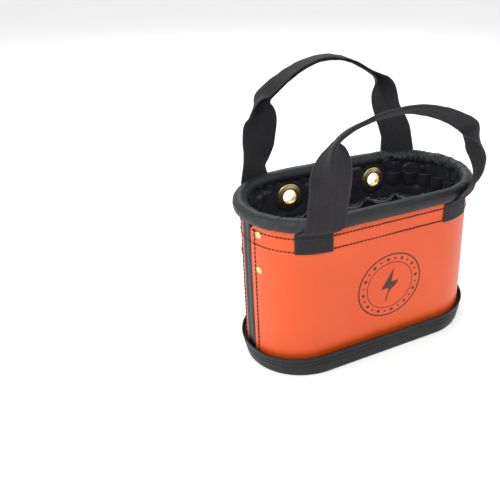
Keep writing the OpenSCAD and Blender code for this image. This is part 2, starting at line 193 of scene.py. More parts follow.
def grid_faces(nu, nv, close_u=False, close_v=False, start=0):
    """Quads over a grid of points, which can close on itself either way."""
    faces = []
    for i in range(nu if close_u else nu - 1):
        for j in range(nv if close_v else nv - 1):
            a, b = start + i * nv + j, start + (i + 1) % nu * nv + j
            c, d = start + (i + 1) % nu * nv + (j + 1) % nv, start + i * nv + (j + 1) % nv
            faces.append((a, b, c, d))
    return faces


def grid_normals(p, close_u=False, close_v=False):
    """Unit normals of a grid of points, right-handed from the first index to the second."""
    def diff(q, axis, closed):
        if closed:
            return np.roll(q, -1, axis) - np.roll(q, 1, axis)
        return np.gradient(q, axis=axis)
    return unit(np.cross(diff(p, 0, close_u), diff(p, 1, close_v)))


def tube_mesh(name, rings, mat, closed=False, uvs=None):
    """Skin over rings of points, capped at both ends unless it closes on itself."""
    rings = np.asarray(rings, float)
    nu, nv = rings.shape[:2]
    faces = grid_faces(nu, nv, close_u=closed, close_v=True)
    if not closed:
        faces += [tuple(range(nv)), tuple(range(nu * nv - 1, (nu - 1) * nv - 1, -1))]
    return new_object(name, rings.reshape(-1, 3), faces, mat, None if uvs is None else uvs.reshape(-1, 2))


def sheet_rings(mid, thick, close_u=False, round_edge=True):
    """Turns a grid of mid-surface points into closed rings round each row, with rounded edges."""
    n = grid_normals(mid, close_u=close_u)
    thick = np.asarray(thick, float)
    half = (thick / 2)[..., None] if thick.ndim else thick / 2
    top, low = mid + n * half, mid - n * half
    if round_edge:
        edge_in = unit(mid[:, 1] - mid[:, 0]), unit(mid[:, -2] - mid[:, -1])
        h = half if np.ndim(half) == 0 else half[:, :1]
        h = h if np.ndim(h) == 0 else h[:, 0]
        first = mid[:, 0] - edge_in[0] * h * 0.5
        last = mid[:, -1] - edge_in[1] * h * 0.5
        top[:, 0] += edge_in[0] * h * 0.4
        low[:, 0] += edge_in[0] * h * 0.4
        top[:, -1] += edge_in[1] * h * 0.4
        low[:, -1] += edge_in[1] * h * 0.4
        return np.concatenate([first[:, None], top, last[:, None], low[:, ::-1]], 1)
    return np.concatenate([top, low[:, ::-1]], 1)


def ring_uvs(u_along, v_across, rounded=True):
    """UVs that go with sheet_rings: u runs along the rows and v across them."""
    v = np.concatenate([v_across[:1], v_across, v_across[-1:], v_across[::-1]]) if rounded \
        else np.concatenate([v_across, v_across[::-1]])
    return np.stack(np.broadcast_arrays(v[None, :], u_along[:, None]), -1)


def lathe(name, profile, place, mat, steps=48, closed_profile=True):
    """Turns a profile of (radius, height) about a placed +Z axis. place is a 4x4 matrix in millimetres."""
    profile = np.asarray(profile, float)
    turn = np.linspace(0, 2 * math.pi, steps, endpoint=False)
    pts = np.stack([profile[None, :, 0] * np.cos(turn)[:, None], profile[None, :, 0] * np.sin(turn)[:, None],
                    np.broadcast_to(profile[None, :, 1], (steps, len(profile)))], -1)
    pts = pts.reshape(-1, 3) @ np.array(place)[:3, :3].T + np.array(place)[:3, 3]
    faces = grid_faces(steps, len(profile), close_u=True, close_v=closed_profile)
    if not closed_profile:
        n = len(profile)
        faces += [tuple(range(0, steps * n, n))[::-1], tuple(range(n - 1, steps * n, n))]
    return new_object(name, pts, faces, mat)


def join(name, objs):
    """Joins objects into one piece."""
    bpy.ops.object.select_all(action="DESELECT")
    for o in objs:
        o.select_set(True)
    bpy.context.view_layer.objects.active = objs[0]
    bpy.ops.object.join()
    objs[0].name = name
    return objs[0]


def subdivided(obj, levels=1):
    mod = obj.modifiers.new("smooth", "SUBSURF")
    mod.levels = mod.render_levels = levels
    return obj


def fix_normals(obj):
    bm = bmesh.new()
    bm.from_mesh(obj.data)
    bmesh.ops.recalc_face_normals(bm, faces=bm.faces)
    bm.to_mesh(obj.data)
    bm.free()
    return obj


def place_on(at, normal, up=(0, 0, 1)):
    """A 4x4 matrix with +Z along normal, at a point, in millimetres."""
    z = Vector(normal).normalized()
    x = Vector(up).cross(z).normalized()
    y = z.cross(x)
    return Matrix(((x.x, y.x, z.x, at[0]), (x.y, y.y, z.y, at[1]), (x.z, y.z, z.z, at[2]), (0, 0, 0, 1)))


# ---- Materials --------------------------------------------------------------------------------

class Nodes:
    """A material's node tree with a short way to add and wire nodes."""

    def __init__(self, name):
        self.mat = bpy.data.materials.new(name)
        self.mat.use_nodes = True
        self.tree = self.mat.node_tree
        self.shader = self.tree.nodes["Principled BSDF"]
        self.coord = self.add("ShaderNodeTexCoord")

    def add(self, kind, inputs=None, **props):
        node = self.tree.nodes.new(kind)
        for key, value in props.items():
            setattr(node, key, value)
        for key, value in (inputs or {}).items():
            if isinstance(value, bpy.types.NodeSocket):
                self.tree.links.new(value, node.inputs[key])
            else:
                node.inputs[key].default_value = value
        return node

    def math(self, op, a, b=0.0, c=0.0):
        return self.add("ShaderNodeMath", {0: a, 1: b, 2: c}, operation=op).outputs[0]

    def where(self, scale=(1, 1, 1)):
        """Object coordinates in metres, stretched by scale."""
        inputs = {"Vector": self.coord.outputs["Object"], "Scale": scale}
        return self.add("ShaderNodeMapping", inputs).outputs[0]

    def noise(self, scale, detail=3.0, rough=0.5, vector=None):
        inputs = {"Vector": vector or self.coord.outputs["Object"], "Scale": scale,
                  "Detail": detail, "Roughness": rough}
        return self.add("ShaderNodeTexNoise", inputs).outputs["Fac"]

    def cells(self, scale):
        """Distance to the edges of small cells, for leather grain."""
        return self.add("ShaderNodeTexVoronoi", {"Vector": self.coord.outputs["Object"], "Scale": scale},
                        feature="DISTANCE_TO_EDGE").outputs["Distance"]

    def ramp(self, value, stops):
        """A colour or grey that follows value through (place, colour) stops."""
        node = self.add("ShaderNodeValToRGB", {"Fac": value})
        marks = node.color_ramp.elements
        while len(marks) < len(stops):
            marks.new(0.5)
        for mark, (at, colour) in zip(marks, stops):
            mark.position = at
            mark.color = (*colour, 1) if hasattr(colour, "__len__") else (colour, colour, colour, 1)
        return node.outputs["Color"]

    def scaled(self, value, low, high):
        return self.add("ShaderNodeMapRange", {"Value": value, "To Min": low, "To Max": high}).outputs[0]

    def bump(self, height, distance, strength=1.0, after=None):
        inputs = {"Height": height, "Distance": distance, "Strength": strength}
        if after is not None:
            inputs["Normal"] = after
        return self.add("ShaderNodeBump", inputs).outputs[0]

    def set(self, **values):
        """Sets the shader's sockets; spaces in their names are written as underscores."""
        for key, value in values.items():
            socket = self.shader.inputs[key.replace("_", " ")]
            if isinstance(value, bpy.types.NodeSocket):
                self.tree.links.new(value, socket)
            else:
                socket.default_value = value
        return self.mat


def colour(r, g, b):
    """Linear colour from 8-bit display values."""
    return tuple(((c / 255 + 0.055) / 1.055) ** 2.4 if c > 10 else c / 255 / 12.92 for c in (r, g, b))


def orange_plastic():
    m = Nodes("orange_plastic")
    broad, fine = m.noise(9.0, 4.0), m.noise(900.0, 2.0)
    tint = m.ramp(broad, [(0.3, colour(208, 75, 22)), (0.7, colour(217, 83, 29))])
    peel = m.bump(m.noise(420.0, 2.0), 0.00012, 0.25)
    worn = m.bump(fine, 0.00003, 0.3, peel)
    return m.set(Base_Color=tint, Roughness=m.scaled(m.noise(60.0, 4.0), 0.34, 0.48), Normal=worn,
                 Coat_Weight=0.06, Coat_Roughness=0.3, Specular_IOR_Level=0.4)


def nylon(name, dark, light, rough=(0.42, 0.6), weave=0.00045, sheen=0.25, bump=0.35):
    """Coated nylon: a fine plain weave, a little shine, and soft mottling."""
    m = Nodes(name)
    tint = m.ramp(m.noise(45.0, 5.0, 0.6), [(0.3, dark), (0.72, light)])
    threads = m.where((1 / weave, 1 / weave, 1 / weave))
    yarn = m.add("ShaderNodeTexNoise", {"Vector": threads, "Scale": 1.0, "Detail": 1.0}).outputs["Fac"]
    crumple = m.bump(m.noise(130.0, 5.0, 0.6), 0.0006, bump)
    return m.set(Base_Color=tint, Roughness=m.scaled(m.noise(80.0, 4.0), *rough),
                 Normal=m.bump(yarn, 0.00008, 0.4, crumple), Sheen_Weight=sheen, Sheen_Roughness=0.4)


def webbing():
    """Herringbone webbing: the UVs are metres across and along the strap."""
    m = Nodes("webbing")
    split = m.add("ShaderNodeSeparateXYZ", {"Vector": m.coord.outputs["UV"]})
    across, along = split.outputs[0], split.outputs[1]
    column = m.math("PINGPONG", across, 0.0047)
    slant = m.math("MULTIPLY", m.math("ADD", along, m.math("MULTIPLY", column, 1.3)), 2 * math.pi / 0.0024)
    twill = m.math("SINE", slant)
    warp = m.math("SINE", m.math("MULTIPLY", across, 2 * math.pi / 0.0016))
    height = m.math("ADD", m.math("MULTIPLY", twill, 0.6), m.math("MULTIPLY", warp, 0.35))
    edge = m.math("ABSOLUTE", m.math("SUBTRACT", across, 0.0254))
    selvedge = m.math("GREATER_THAN", edge, 0.0236)
    # The colour follows the weave's height and is lighter on the raised ribs, a painted highlight on the
    # twill. The selvedge band along each edge is a little lighter as well.
    lit = m.math("MULTIPLY_ADD", height, 0.3, m.math("MULTIPLY_ADD", selvedge, 0.12, 0.5))
    fuzz = m.noise(700.0, 3.0, 0.7)
    tint = m.ramp(m.math("MULTIPLY_ADD", fuzz, 0.35, m.math("SUBTRACT", lit, 0.17)),
                  [(0.15, colour(5, 4, 6)), (0.5, colour(18, 16, 20)), (0.85, colour(64, 61, 66))])
    woven = m.bump(height, 0.0004, 0.9)
    return m.set(Base_Color=tint, Roughness=m.scaled(fuzz, 0.62, 0.82),
                 Normal=m.bump(m.noise(160.0, 3.0), 0.0004, 0.3, woven),
                 Sheen_Weight=0.06, Sheen_Roughness=0.5, Specular_IOR_Level=0.25)


def boot_leather():
    m = Nodes("boot_leather")
    cells = m.cells(620.0)
    tint = m.ramp(m.noise(28.0, 6.0, 0.65), [(0.3, colour(11, 12, 14)), (0.7, colour(22, 23, 25))])
    grain = m.bump(cells, 0.00025, 0.35)
    return m.set(Base_Color=tint, Roughness=m.scaled(m.noise(70.0, 5.0), 0.4, 0.58),
                 Normal=m.bump(m.noise(90.0, 4.0), 0.0005, 0.25, grain), Specular_IOR_Level=0.32)


def tan_leather():
    m = Nodes("tan_leather")
    cells = m.cells(800.0)
    tint = m.ramp(m.noise(35.0, 6.0, 0.6), [(0.25, colour(112, 62, 30)), (0.5, colour(150, 90, 48)),
                                           (0.8, colour(176, 112, 64))])
    return m.set(Base_Color=tint, Roughness=m.scaled(m.noise(50.0, 4.0), 0.45, 0.68),
                 Normal=m.bump(m.noise(220.0, 4.0), 0.0003, 0.4, m.bump(cells, 0.0002, 0.4)))


def brass():
    m = Nodes("brass")
    scratch = m.noise(1.0, 6.0, 0.7, m.where((900, 900, 120)))
    tint = m.ramp(m.noise(110.0, 5.0, 0.6), [(0.3, colour(205, 180, 112)), (0.75, colour(240, 224, 166))])
    return m.set(Base_Color=tint, Metallic=1.0, Roughness=m.scaled(m.noise(160.0, 4.0), 0.26, 0.44),
                 Normal=m.bump(scratch, 0.00004, 0.35))


def dull(name, dark, light, rough=(0.55, 0.8), scale=120.0, bump=0.0003):
    """Plain matt stuff such as thread, board and rubber, with some mottling."""
    m = Nodes(name)
    tint = m.ramp(m.noise(scale, 5.0, 0.6), [(0.3, dark), (0.7, light)])
    return m.set(Base_Color=tint, Roughness=m.scaled(m.noise(scale * 2, 3.0), *rough),
                 Normal=m.bump(m.noise(scale * 5, 3.0), bump, 0.4))


def thread(name, dark, light):
    """Twisted sewing thread."""
    m = Nodes(name)
    ply = m.add("ShaderNodeTexWave", {"Vector": m.coord.outputs["Object"], "Scale": 900.0, "Distortion": 3.0},
                bands_direction="DIAGONAL").outputs["Fac"]
    return m.set(Base_Color=m.ramp(ply, [(0.2, dark), (0.8, light)]), Roughness=m.scaled(ply, 0.55, 0.75),
                 Normal=m.bump(ply, 0.0001, 0.5))


M_ORANGE = orange_plastic()
M_RIM = nylon("rim_nylon", colour(11, 14, 17), colour(22, 26, 29), (0.48, 0.62), 0.0005, 0.03)
M_LINING = nylon("lining_nylon", colour(26, 26, 33), colour(46, 46, 57), (0.22, 0.38), 0.0004, 0.15, 0.8)
M_POCKET = nylon("pocket_nylon", colour(20, 20, 26), colour(37, 37, 46), (0.22, 0.38), 0.0004, 0.15, 0.7)
M_HEM = nylon("hem_binding", colour(78, 80, 88), colour(122, 124, 134), (0.36, 0.5), 0.0006, 0.1)
M_WEB = webbing()
M_ELASTIC = nylon("elastic", colour(14, 14, 18), colour(30, 30, 38), (0.4, 0.6), 0.0009, 0.08)
M_BOOT = boot_leather()
M_TAN = tan_leather()
M_BRASS = brass()
M_TRIM = dull("seam_trim", colour(4, 5, 7), colour(9, 10, 13), (0.4, 0.55), 60.0, 0.0002)
M_BOARD = dull("floor_board", colour(24, 24, 26), colour(40, 40, 43))
M_RUBBER = dull("patch_rubber", colour(14, 14, 16), colour(28, 27, 29), (0.5, 0.7))
M_INK = dull("print_ink", colour(44, 14, 8), colour(74, 24, 12), (0.4, 0.55), 300.0, 0.00005)
M_DARK_THREAD = thread("dark_thread", colour(20, 4, 5), colour(52, 12, 8))
M_BLACK_THREAD = thread("black_thread", colour(12, 12, 14), colour(34, 34, 38))
M_GREY_THREAD = thread("grey_thread", colour(34, 34, 38), colour(66, 66, 72))


def finish_piece(obj, slot_name, *nodes, body=BUCKET):
    """Rides the piece on a body and hides the CAD nodes that it stands for."""
    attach(obj, body)
    if nodes:
        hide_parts(*nodes)
    return obj


# ---- Stitches ---------------------------------------------------------------------------------

STITCH_SHAPE = ((0, 0.35, -0.7), (0.14, 0.85, 0.25), (0.5, 1.0, 0.55), (0.86, 0.85, 0.25), (1, 0.35, -0.7))
STITCH_SIDES = 6


def stitch_verts(start, end, normal, radius):
    """One stitch: a short thread that dives into the cloth at both ends."""
    along = unit(end - start)
    side = unit(np.cross(normal, along))
    length = np.linalg.norm(end - start)
    rings = []
    for t, size, lift in STITCH_SHAPE:
        middle = start + along * length * t + normal * radius * lift
        for k in range(STITCH_SIDES):
            turn = 2 * math.pi * k / STITCH_SIDES
            rings.append(middle + radius * size * (math.cos(turn) * side + math.sin(turn) * normal))
    return rings


def between(d, run, values):
    """Rows of values at distance d, where run holds the rows' own distances."""
    return np.array([np.interp(d, run, values[:, i]) for i in range(3)])


def stitches(name, lines, mat, length=4.2, gap=1.6, radius=0.45, slant=0.0):
    """Stitches along lines, each (points, normals) in millimetres; slant tips them across the line."""
    verts, faces = [], []
    rings = len(STITCH_SHAPE)
    last = rings * STITCH_SIDES - 1
    for points, normals in lines:
        points, normals = np.asarray(points, float), np.asarray(normals, float)
        run = np.concatenate([[0], np.cumsum(np.linalg.norm(np.diff(points, axis=0), axis=1))])
        count = max(1, int(round(run[-1] / (length + gap))))
        pitch = run[-1] / count
        for k in range(count):
            a = k * pitch + gap / 2
            b = (k + 1) * pitch - gap / 2
            base = len(verts)
            start, end = between(a, run, points), between(b, run, points)
            out = unit(between((a + b) / 2, run, normals))
            tip = unit(np.cross(out, end - start)) * slant
            verts += stitch_verts(start - tip, end + tip, out, radius)
            faces += grid_faces(rings, STITCH_SIDES, close_v=True, start=base)
            faces += [tuple(base + i for i in range(STITCH_SIDES)),
                      tuple(base + last - i for i in range(STITCH_SIDES))]
    return fix_normals(new_object(name, verts, faces, mat))


def wall_line(a0, a1, z, off, lift=0.0, n=60, wobble=None):
    """A level line on the wall, with its normals, for stitches."""
    a = np.linspace(a0, a1, n)
    zs = z + (wobble(a) if wobble else 0 * a)
    return wall_point(a, zs, off + lift), wall_out(a, zs)


# ---- Wall panels ------------------------------------------------------------------------------

SHELL_WAVE = Waves(11, 2, 60, 260, 8)
ROW_HIGH, ROW_LOW, ROW_SIDE = 224.5, 205.0, 8.5
PANEL_FOOT, PANEL_TOP = panel_low[2], panel_high[2]
CORNER, CORNER_TOP = 7.0, 228.5


def panel_edge_a(z, side, facing):
    """Distance along the wall to a panel's end beside a seam. facing is -1 for the front, 1 for the back."""
    y = -SEAM_SHIFT + facing * (SEAM_GAP / 2 + 0.2)
    return side * end_a(z, y)


def stitch_dip(z, edge):
    """How much the rows of stitches pull the plastic in, at height z and edge from the panel's end."""
    rows = np.exp(-((z - ROW_HIGH) / 1.3) ** 2) + np.exp(-((z - ROW_LOW) / 1.3) ** 2)
    return 0.42 * np.maximum(rows, np.exp(-((edge - ROW_SIDE) / 1.3) ** 2))


def merged(*spans):
    """Sorted places from several (start, end, count) spans."""
    return np.unique(np.concatenate([np.linspace(*span) for span in spans]))


def panel_grid(facing):
    """Mid-surface of a panel; the first index goes along it, the second up it."""
    us = merged((0, 1, 130), (0, 0.045, 26), (0.955, 1, 26))
    zs = merged((PANEL_FOOT, PANEL_TOP - 12, 46), (PANEL_TOP - 12, PANEL_TOP, 8),
                (ROW_HIGH - 4, ROW_HIGH + 4, 13), (ROW_LOW - 4, ROW_LOW + 4, 13))
    grid = np.zeros((len(us), len(zs), 3))
    for j, z in enumerate(zs):
        left, right = panel_edge_a(z, -1, facing), panel_edge_a(z, 1, facing)
        if facing < 0:
            left += 2 * half_round(z)
        a = left + (right - left) * us
        edge = np.minimum(us, 1 - us) * abs(right - left)
        under = max(z - (CORNER_TOP - CORNER), 0)
        pull = CORNER - math.sqrt(max(CORNER ** 2 - min(under, CORNER) ** 2, 0))
        a = a + np.sign(right - left) * pull * (1 - smooth(edge, 0, 26)) * np.where(us < 0.5, 1, -1)
        wave = 0.35 * SHELL_WAVE(a, 0 * a + z) * smooth(z, 20, 60) * (1 - smooth(z, 190, 230))
        ripple = 0.22 * np.sin(a * 0.16) * smooth(z, 214, 230) * (1 - smooth(z, 231, 236))
        grid[:, j] = wall_point(a, z, -PANEL_T / 2 + wave + ripple - stitch_dip(z, edge))
    return grid


def panel(name, facing):
    mid = panel_grid(facing)
    if facing < 0:
        mid = mid[::-1]
    rings = sheet_rings(mid, PANEL_T)
    return fix_normals(tube_mesh(name, rings, M_ORANGE))


def cut_holes(obj, spots, radius):
    """Round holes through a sheet at spots, each a point and a direction."""
    for at, out in spots:
        cutter = lathe("cutter", [(radius, -12), (radius, 12)], place_on(at, out), M_ORANGE, 64, False)
        fix_normals(cutter)
        mod = obj.modifiers.new("hole", "BOOLEAN")
        mod.object, mod.operation, mod.solver = cutter, "DIFFERENCE", "MANIFOLD"
        bpy.context.view_layer.objects.active = obj
        bpy.ops.object.modifier_apply(modifier="hole")
        bpy.data.objects.remove(cutter)
    return obj


WALL_LEAN = math.atan((TOP_R - FOOT_R) / BODY_H)


def grommet_place(side):
    at = wall_point(side * GROMMET_X, GROMMET_Z)
    return at, np.array([0, math.cos(WALL_LEAN), -math.sin(WALL_LEAN)])


def rivet_place(z, side):
    turn = math.radians(180 + side * RIVET_TURN)
    out = np.array([math.cos(turn), math.sin(turn), 0])
    at = np.array([-wall_s(z), 0, z]) + wall_r(z) * out
    return at, unit(out * math.cos(WALL_LEAN) - np.array([0, 0, math.sin(WALL_LEAN)]))


front_panel = finish_piece(panel("front_wall", -1), "shell_plastic", "front_panel")
back_panel = panel("back_wall", 1)
cut_holes(back_panel, [grommet_place(side) for side in (-1, 1)], GROMMET_HOLE_R)
finish_piece(back_panel, "shell_plastic", "back_panel")

STITCH_WOBBLE = Waves(5, 1, 15, 60, 6)


def panel_rows(facing):
    """The panel's level rows of stitches, broken at the hanging grommets."""
    rows = []
    for z in (ROW_HIGH, ROW_LOW):
        ends = [panel_edge_a(z, side, facing) for side in (-1, 1)]
        if facing < 0:
            ends = [ends[1], ends[0] + 2 * half_round(z)]
        reach = math.sqrt(max((GROMMET_R + 9.5) ** 2 - (z - GROMMET_Z) ** 2, 0))
        breaks = []
        if facing > 0:
            breaks = [side * GROMMET_X + end for side in (-1, 1) for end in (-reach, reach)]
        marks = [ends[0] + 3] + breaks + [ends[1] - 3]
        for a0, a1 in zip(marks[::2], marks[1::2]):
            rows.append(wall_line(a0, a1, z, -0.25, n=240, wobble=lambda a: 0.3 * STITCH_WOBBLE(a)))
    return rows


def upright_rows(facing):
    """One row of stitches up each end of a panel, lying in a groove beside the seam."""
    rows = []
    zs = np.linspace(PANEL_FOOT + 12, 227.5, 60)
    for side in (-1, 1):
        a = panel_edge_a(zs, side, facing) - side * facing * ROW_SIDE + 0.25 * STITCH_WOBBLE(zs)
        rows.append((wall_point(a, zs, -0.35), wall_out(a, zs)))
    return rows


def seam_crossing(side):
    """Where the lower row of stitches runs on over a seam strip."""
    y = -SEAM_SHIFT + np.linspace(-SEAM_GAP / 2 - 2, SEAM_GAP / 2 + 2, 24)
    a = side * end_a(ROW_LOW, y)
    return wall_point(a, ROW_LOW, 0.75), wall_out(a, 0 * a + ROW_LOW)


for facing, name in ((-1, "front_wall"), (1, "back_wall")):
    level = stitches(f"{name}_stitches", panel_rows(facing), M_DARK_THREAD, 5.2, 0.5, 0.95, slant=0.65)
    finish_piece(level, "seam_trim")
    upright_row = stitches(f"{name}_end_stitches", upright_rows(facing), M_DARK_THREAD, 6.4, 0.15, 1.0)
    finish_piece(upright_row, "seam_trim")
crossing = stitches("seam_stitches", [seam_crossing(side) for side in (-1, 1)], M_BLACK_THREAD, 4.9, 0.7, 0.6)
finish_piece(crossing, "seam_trim")

# ---- Seam strips ------------------------------------------------------------------------------

def seam_strip(name, side, node):
    """A black extruded strip with two round ribs and a groove between them."""
    half = SEAM_GAP / 2 - 0.2
    across = np.linspace(-half, half, 33)
    t = across / half
    rib = 1.5 * np.sqrt(np.clip(1 - ((np.abs(t) - 0.56) / 0.44) ** 2, 0, 1)) + 0.35 * np.exp(-(t / 0.12) ** 2)
    zs = np.linspace(strip_low[2], strip_high[2] - 4, 60)
    outer = np.zeros((len(zs), len(across), 3))
    inner = np.zeros_like(outer)
    for i, z in enumerate(zs):
        a = side * end_a(z, across - SEAM_SHIFT)
        outer[i] = wall_point(a, z, -0.5 + rib + 0.12 * np.sin(z * 0.11 + t))
        inner[i] = wall_point(a, z, -3.4)
    rings = np.concatenate([outer, inner[:, ::-1]], 1)
    return finish_piece(fix_normals(tube_mesh(name, rings, M_TRIM)), "seam_trim", node)


seam_strip("left_seam", -1, "left_seam_strip")
seam_strip("right_seam", 1, "right_seam_strip")

# ---- Rim --------------------------------------------------------------------------------------

RIM_S = wall_s(RIM_Z)
RIM_LOOP = 4 * RIM_S + 2 * math.pi * RIM_PATH_R
FOLD_A, FOLD_B = Waves(21, 2, 18, 56, 16), Waves(22, 2, 8, 20, 16)
SOFT = Waves(23, 2, 40, 160, 10)
# Single creases in the cover: distance round the rim and depth.
RIM_CREASES = ((-292, 1.1), (-268, 0.8), (-318, 0.9), (-232, 0.9), (352, 0.7), (-150, 0.6), (96, 0.7))


def rim_frames(n):
    """Places round the rim's middle line: distance, point, outward direction."""
    a = np.linspace(-RIM_LOOP / 2, RIM_LOOP / 2, n, endpoint=False)
    x, y, ox, oy = oval_point(a, RIM_S, RIM_PATH_R)
    return a, np.stack([x, y, 0 * a + RIM_Z], -1), np.stack([ox, oy, 0 * a], -1)


def gather_amount(a):
    """How strongly the cover is gathered, by distance round the rim: most where the ends are round."""
    d = np.abs(a)
    front = RIM_S + math.pi * RIM_PATH_R
    ends = smooth(d, RIM_S - 30, RIM_S + 25) * (1 - smooth(d, front - 25, front + 20))
    right_back = np.where(a > 0, 2.1 - 1.5 * smooth(a, 190, 300), 0.42)
    return ends * right_back


def rim_cover():
    n, m = 900, 44
    a, at, out = rim_frames(n)
    turn = np.linspace(0, 2 * math.pi, m, endpoint=False)     # 0 points outward, a quarter turn points up
    A, T = np.meshgrid(a, turn, indexing="ij")
    gather = gather_amount(A)
    inner = 0.5 - 0.5 * np.cos(T)                               # 1 on the side towards the mouth
    skew = 9 * np.sin(T) * np.sin(A * 0.02)
    folds = 1.0 - np.abs(FOLD_A(A + skew, 5 * T)) ** 0.7 * 1.7
    folds -= np.abs(FOLD_B(A - skew, 4 * T)) ** 0.8 * 0.8
    folds *= gather * (0.25 + 0.75 * inner)
    ridge = 0.55 * np.exp(-((T - 1.0) / 0.2) ** 2) - 0.6 * np.exp(-((T - 0.66) / 0.13) ** 2)
    ridge += 0.4 * np.exp(-((T - 0.42) / 0.15) ** 2) - 0.45 * np.exp(-((T - 0.16) / 0.12) ** 2)
    ridge *= (1 - 0.8 * np.minimum(gather_amount(A), 1)) * (0.75 + 0.25 * SOFT(A, T))
    crease = np.zeros_like(A)
    for place, depth in RIM_CREASES:
        crease -= depth * np.exp(-((A - place + 5 * np.sin(T)) / 1.5) ** 2)
    r = RIM_R - 0.35 + folds + ridge + crease + 0.35 * SOFT(A, 30 * T)
    flat = np.where(np.sin(T) < -0.75, 0.93, 1.0)
    P = at[:, None] + out[:, None] * (r * np.cos(T))[..., None]
    P[..., 2] += r * np.sin(T) * flat
    uv = np.stack([T * RIM_R, A], -1)
    cover = fix_normals(tube_mesh("rim_binding", P, M_RIM, closed=True, uvs=uv))
    return finish_piece(cover, "rim_fabric", "rim_cover", "rim_core")


rim = rim_cover()


# ---- Boot and base ----------------------------------------------------------------------------

BOOT_WAVE = Waves(31, 2, 30, 140, 10)
BOOT_ROWS = (18.4, 25.2)          # heights of the two sewn grooves


def boot_ring(a_share, z, off):
    """Points round the boot at a height; a_share runs from 0 to 1 round the oval."""
    k = np.clip(z / BOOT_H, 0, 1)
    s = BOOT_FOOT[0] + (BOOT_TOP[0] - BOOT_FOOT[0]) * k
    r = BOOT_FOOT[1] + (BOOT_TOP[1] - BOOT_FOOT[1]) * k
    half = 2 * s + math.pi * r
    x, y, ox, oy = oval_point((a_share * 2 - 1) * half, s, r, off)
    return np.stack([x, y, 0 * x + z], -1), np.stack([ox, oy, 0 * ox], -1)


def boot():
    """The boot's wall and the edge of its floor as one skin, swept round the oval."""
    share = np.linspace(0, 1, 520, endpoint=False)
    top = BOOT_H
    # (distance out from the boot's outer face, height), from the underside round the lip to the floor's top
    profile = [(-30.0, 0.15), (-12.0, 0.1), (-4.0, 0.0), (-1.6, 0.25), (-0.5, 1.0), (0, 2.4), (0.1, 6),
               (0.1, 10), (0.05, 14), (0.25, 17.0), (-0.75, BOOT_ROWS[0]), (0.3, 19.8), (0.45, 21.5),
               (0.4, 23.8), (-0.75, BOOT_ROWS[1]), (0.35, 26.6), (0.5, 28.5), (0.55, 31), (0.45, top - 1.6),
               (0.05, top - 0.5), (-0.7, top - 0.1), (-1.5, top - 0.5), (-1.9, top - 1.8), (-2.2, 26),
               (-2.5, 10), (-3.2, 4.0), (-6, 2.5), (-30.0, 2.5)]
    rings = []
    for off, z in profile:
        p, out = boot_ring(share, z, off)
        wave = BOOT_WAVE(share * 900, 0 * share + z * 2)
        p = p + out * (0.35 * wave * smooth(z, 4, 16))[:, None]
        if off > -2.1:
            p[:, 2] += 0.35 * BOOT_WAVE(share * 900 + 200, 0 * share) * smooth(z, 20, top)
        rings.append(p)
    rings = np.array(rings).transpose(1, 0, 2)
    return fix_normals(tube_mesh("boot_skirt", rings, M_BOOT, closed=True))


finish_piece(boot(), "boot_leather", "base_boot", "base_welt")


def upright(x, y):
    return Matrix.Translation((x, y, 0))


def punched_plate(name, outline, z0, z1, mat):
    """A flat plate with the drain holes punched through."""
    n = len(outline)
    low = np.column_stack([outline, np.full(n, z0)])
    high = np.column_stack([outline, np.full(n, z1)])
    faces = [(i, (i + 1) % n, n + (i + 1) % n, n + i) for i in range(n)]
    faces += [tuple(range(n))[::-1], tuple(range(n, 2 * n))]
    obj = fix_normals(new_object(name, np.concatenate([low, high]), faces, mat, smooth_shade=False))
    # the holes' direction is a hair off upright, because place_on needs a side direction
    spots = [(np.array([x, y, (z0 + z1) / 2]), (0, 0.0001, 1)) for x, y in DRAIN_SPOTS]
    return cut_holes(obj, spots, DRAIN_HOLE_R)


sole_ring, _ = boot_ring(np.linspace(0, 1, 160, endpoint=False), 0.2, -29.6)
finish_piece(punched_plate("boot_sole", sole_ring[:, :2], 0.15, 2.5, M_BOOT), "boot_leather")

boot_rows = [boot_ring(np.linspace(0, 1, 700), z, -0.35) for z in BOOT_ROWS]
finish_piece(stitches("boot_stitches", boot_rows, M_BLACK_THREAD, 4.6, 0.9, 0.75), "boot_leather")


def welt():
    """The dark filler behind the boot's lip."""
    share = np.linspace(0, 1, 400, endpoint=False)
    rings = [boot_ring(share, z, off)[0] for off, z in ((-2.4, 21), (-2.4, 27.2), (-3.2, 28.4))]
    for off, z in ((1.6, 28.2), (0.6, 27.0), (0.6, 21)):
        rings.append(wall_point((share * 2 - 1) * half_round(z), z, off))
    rings = np.array(rings).transpose(1, 0, 2)
    return fix_normals(tube_mesh("boot_welt", rings, M_RUBBER, closed=True))


finish_piece(welt(), "stiff_board")


def floor_plate(name, mat, slot_name, node):
    """A plate that fills the oval inside the walls, as thick as its CAD node."""
    low, high = node_mm(node)
    zc = (low[2] + high[2]) / 2
    share = np.linspace(-1, 1, 160, endpoint=False)
    ring = wall_point(share * half_round(zc), zc, -3.9)
    finish_piece(punched_plate(name, ring[:, :2], low[2], high[2], mat), slot_name, node)
    return high[2]


floor_plate("floor_stiffener", M_BOARD, "stiff_board", "floor_board")
FLOOR_Z = floor_plate("floor_cloth", M_LINING, "lining_fabric", "lining_floor")


def eyelets():
    """Rolled brass eyelets in the drain holes, flanged under the boot and over the lining."""
    top = FLOOR_Z + 0.75
    profile = [(4.5, 1.0), (4.8, 0.4), (5.6, 0.15), (7.2, 0.25), (7.9, 0.5), (7.9, 0.85), (6.0, 1.0),
               (5.15, 1.3), (5.15, top - 0.9), (6.0, top - 0.6), (7.6, top - 0.5), (7.9, top - 0.3),
               (7.2, top), (5.6, top + 0.25), (4.8, top + 0.1), (4.5, top - 0.5)]
    return join("drain_rings", [lathe("eyelet", profile, upright(x, y), M_BRASS, 40) for x, y in DRAIN_SPOTS])


finish_piece(fix_normals(eyelets()), "brass_hardware", "drain_eyelets")

# ---- Lining -----------------------------------------------------------------------------------

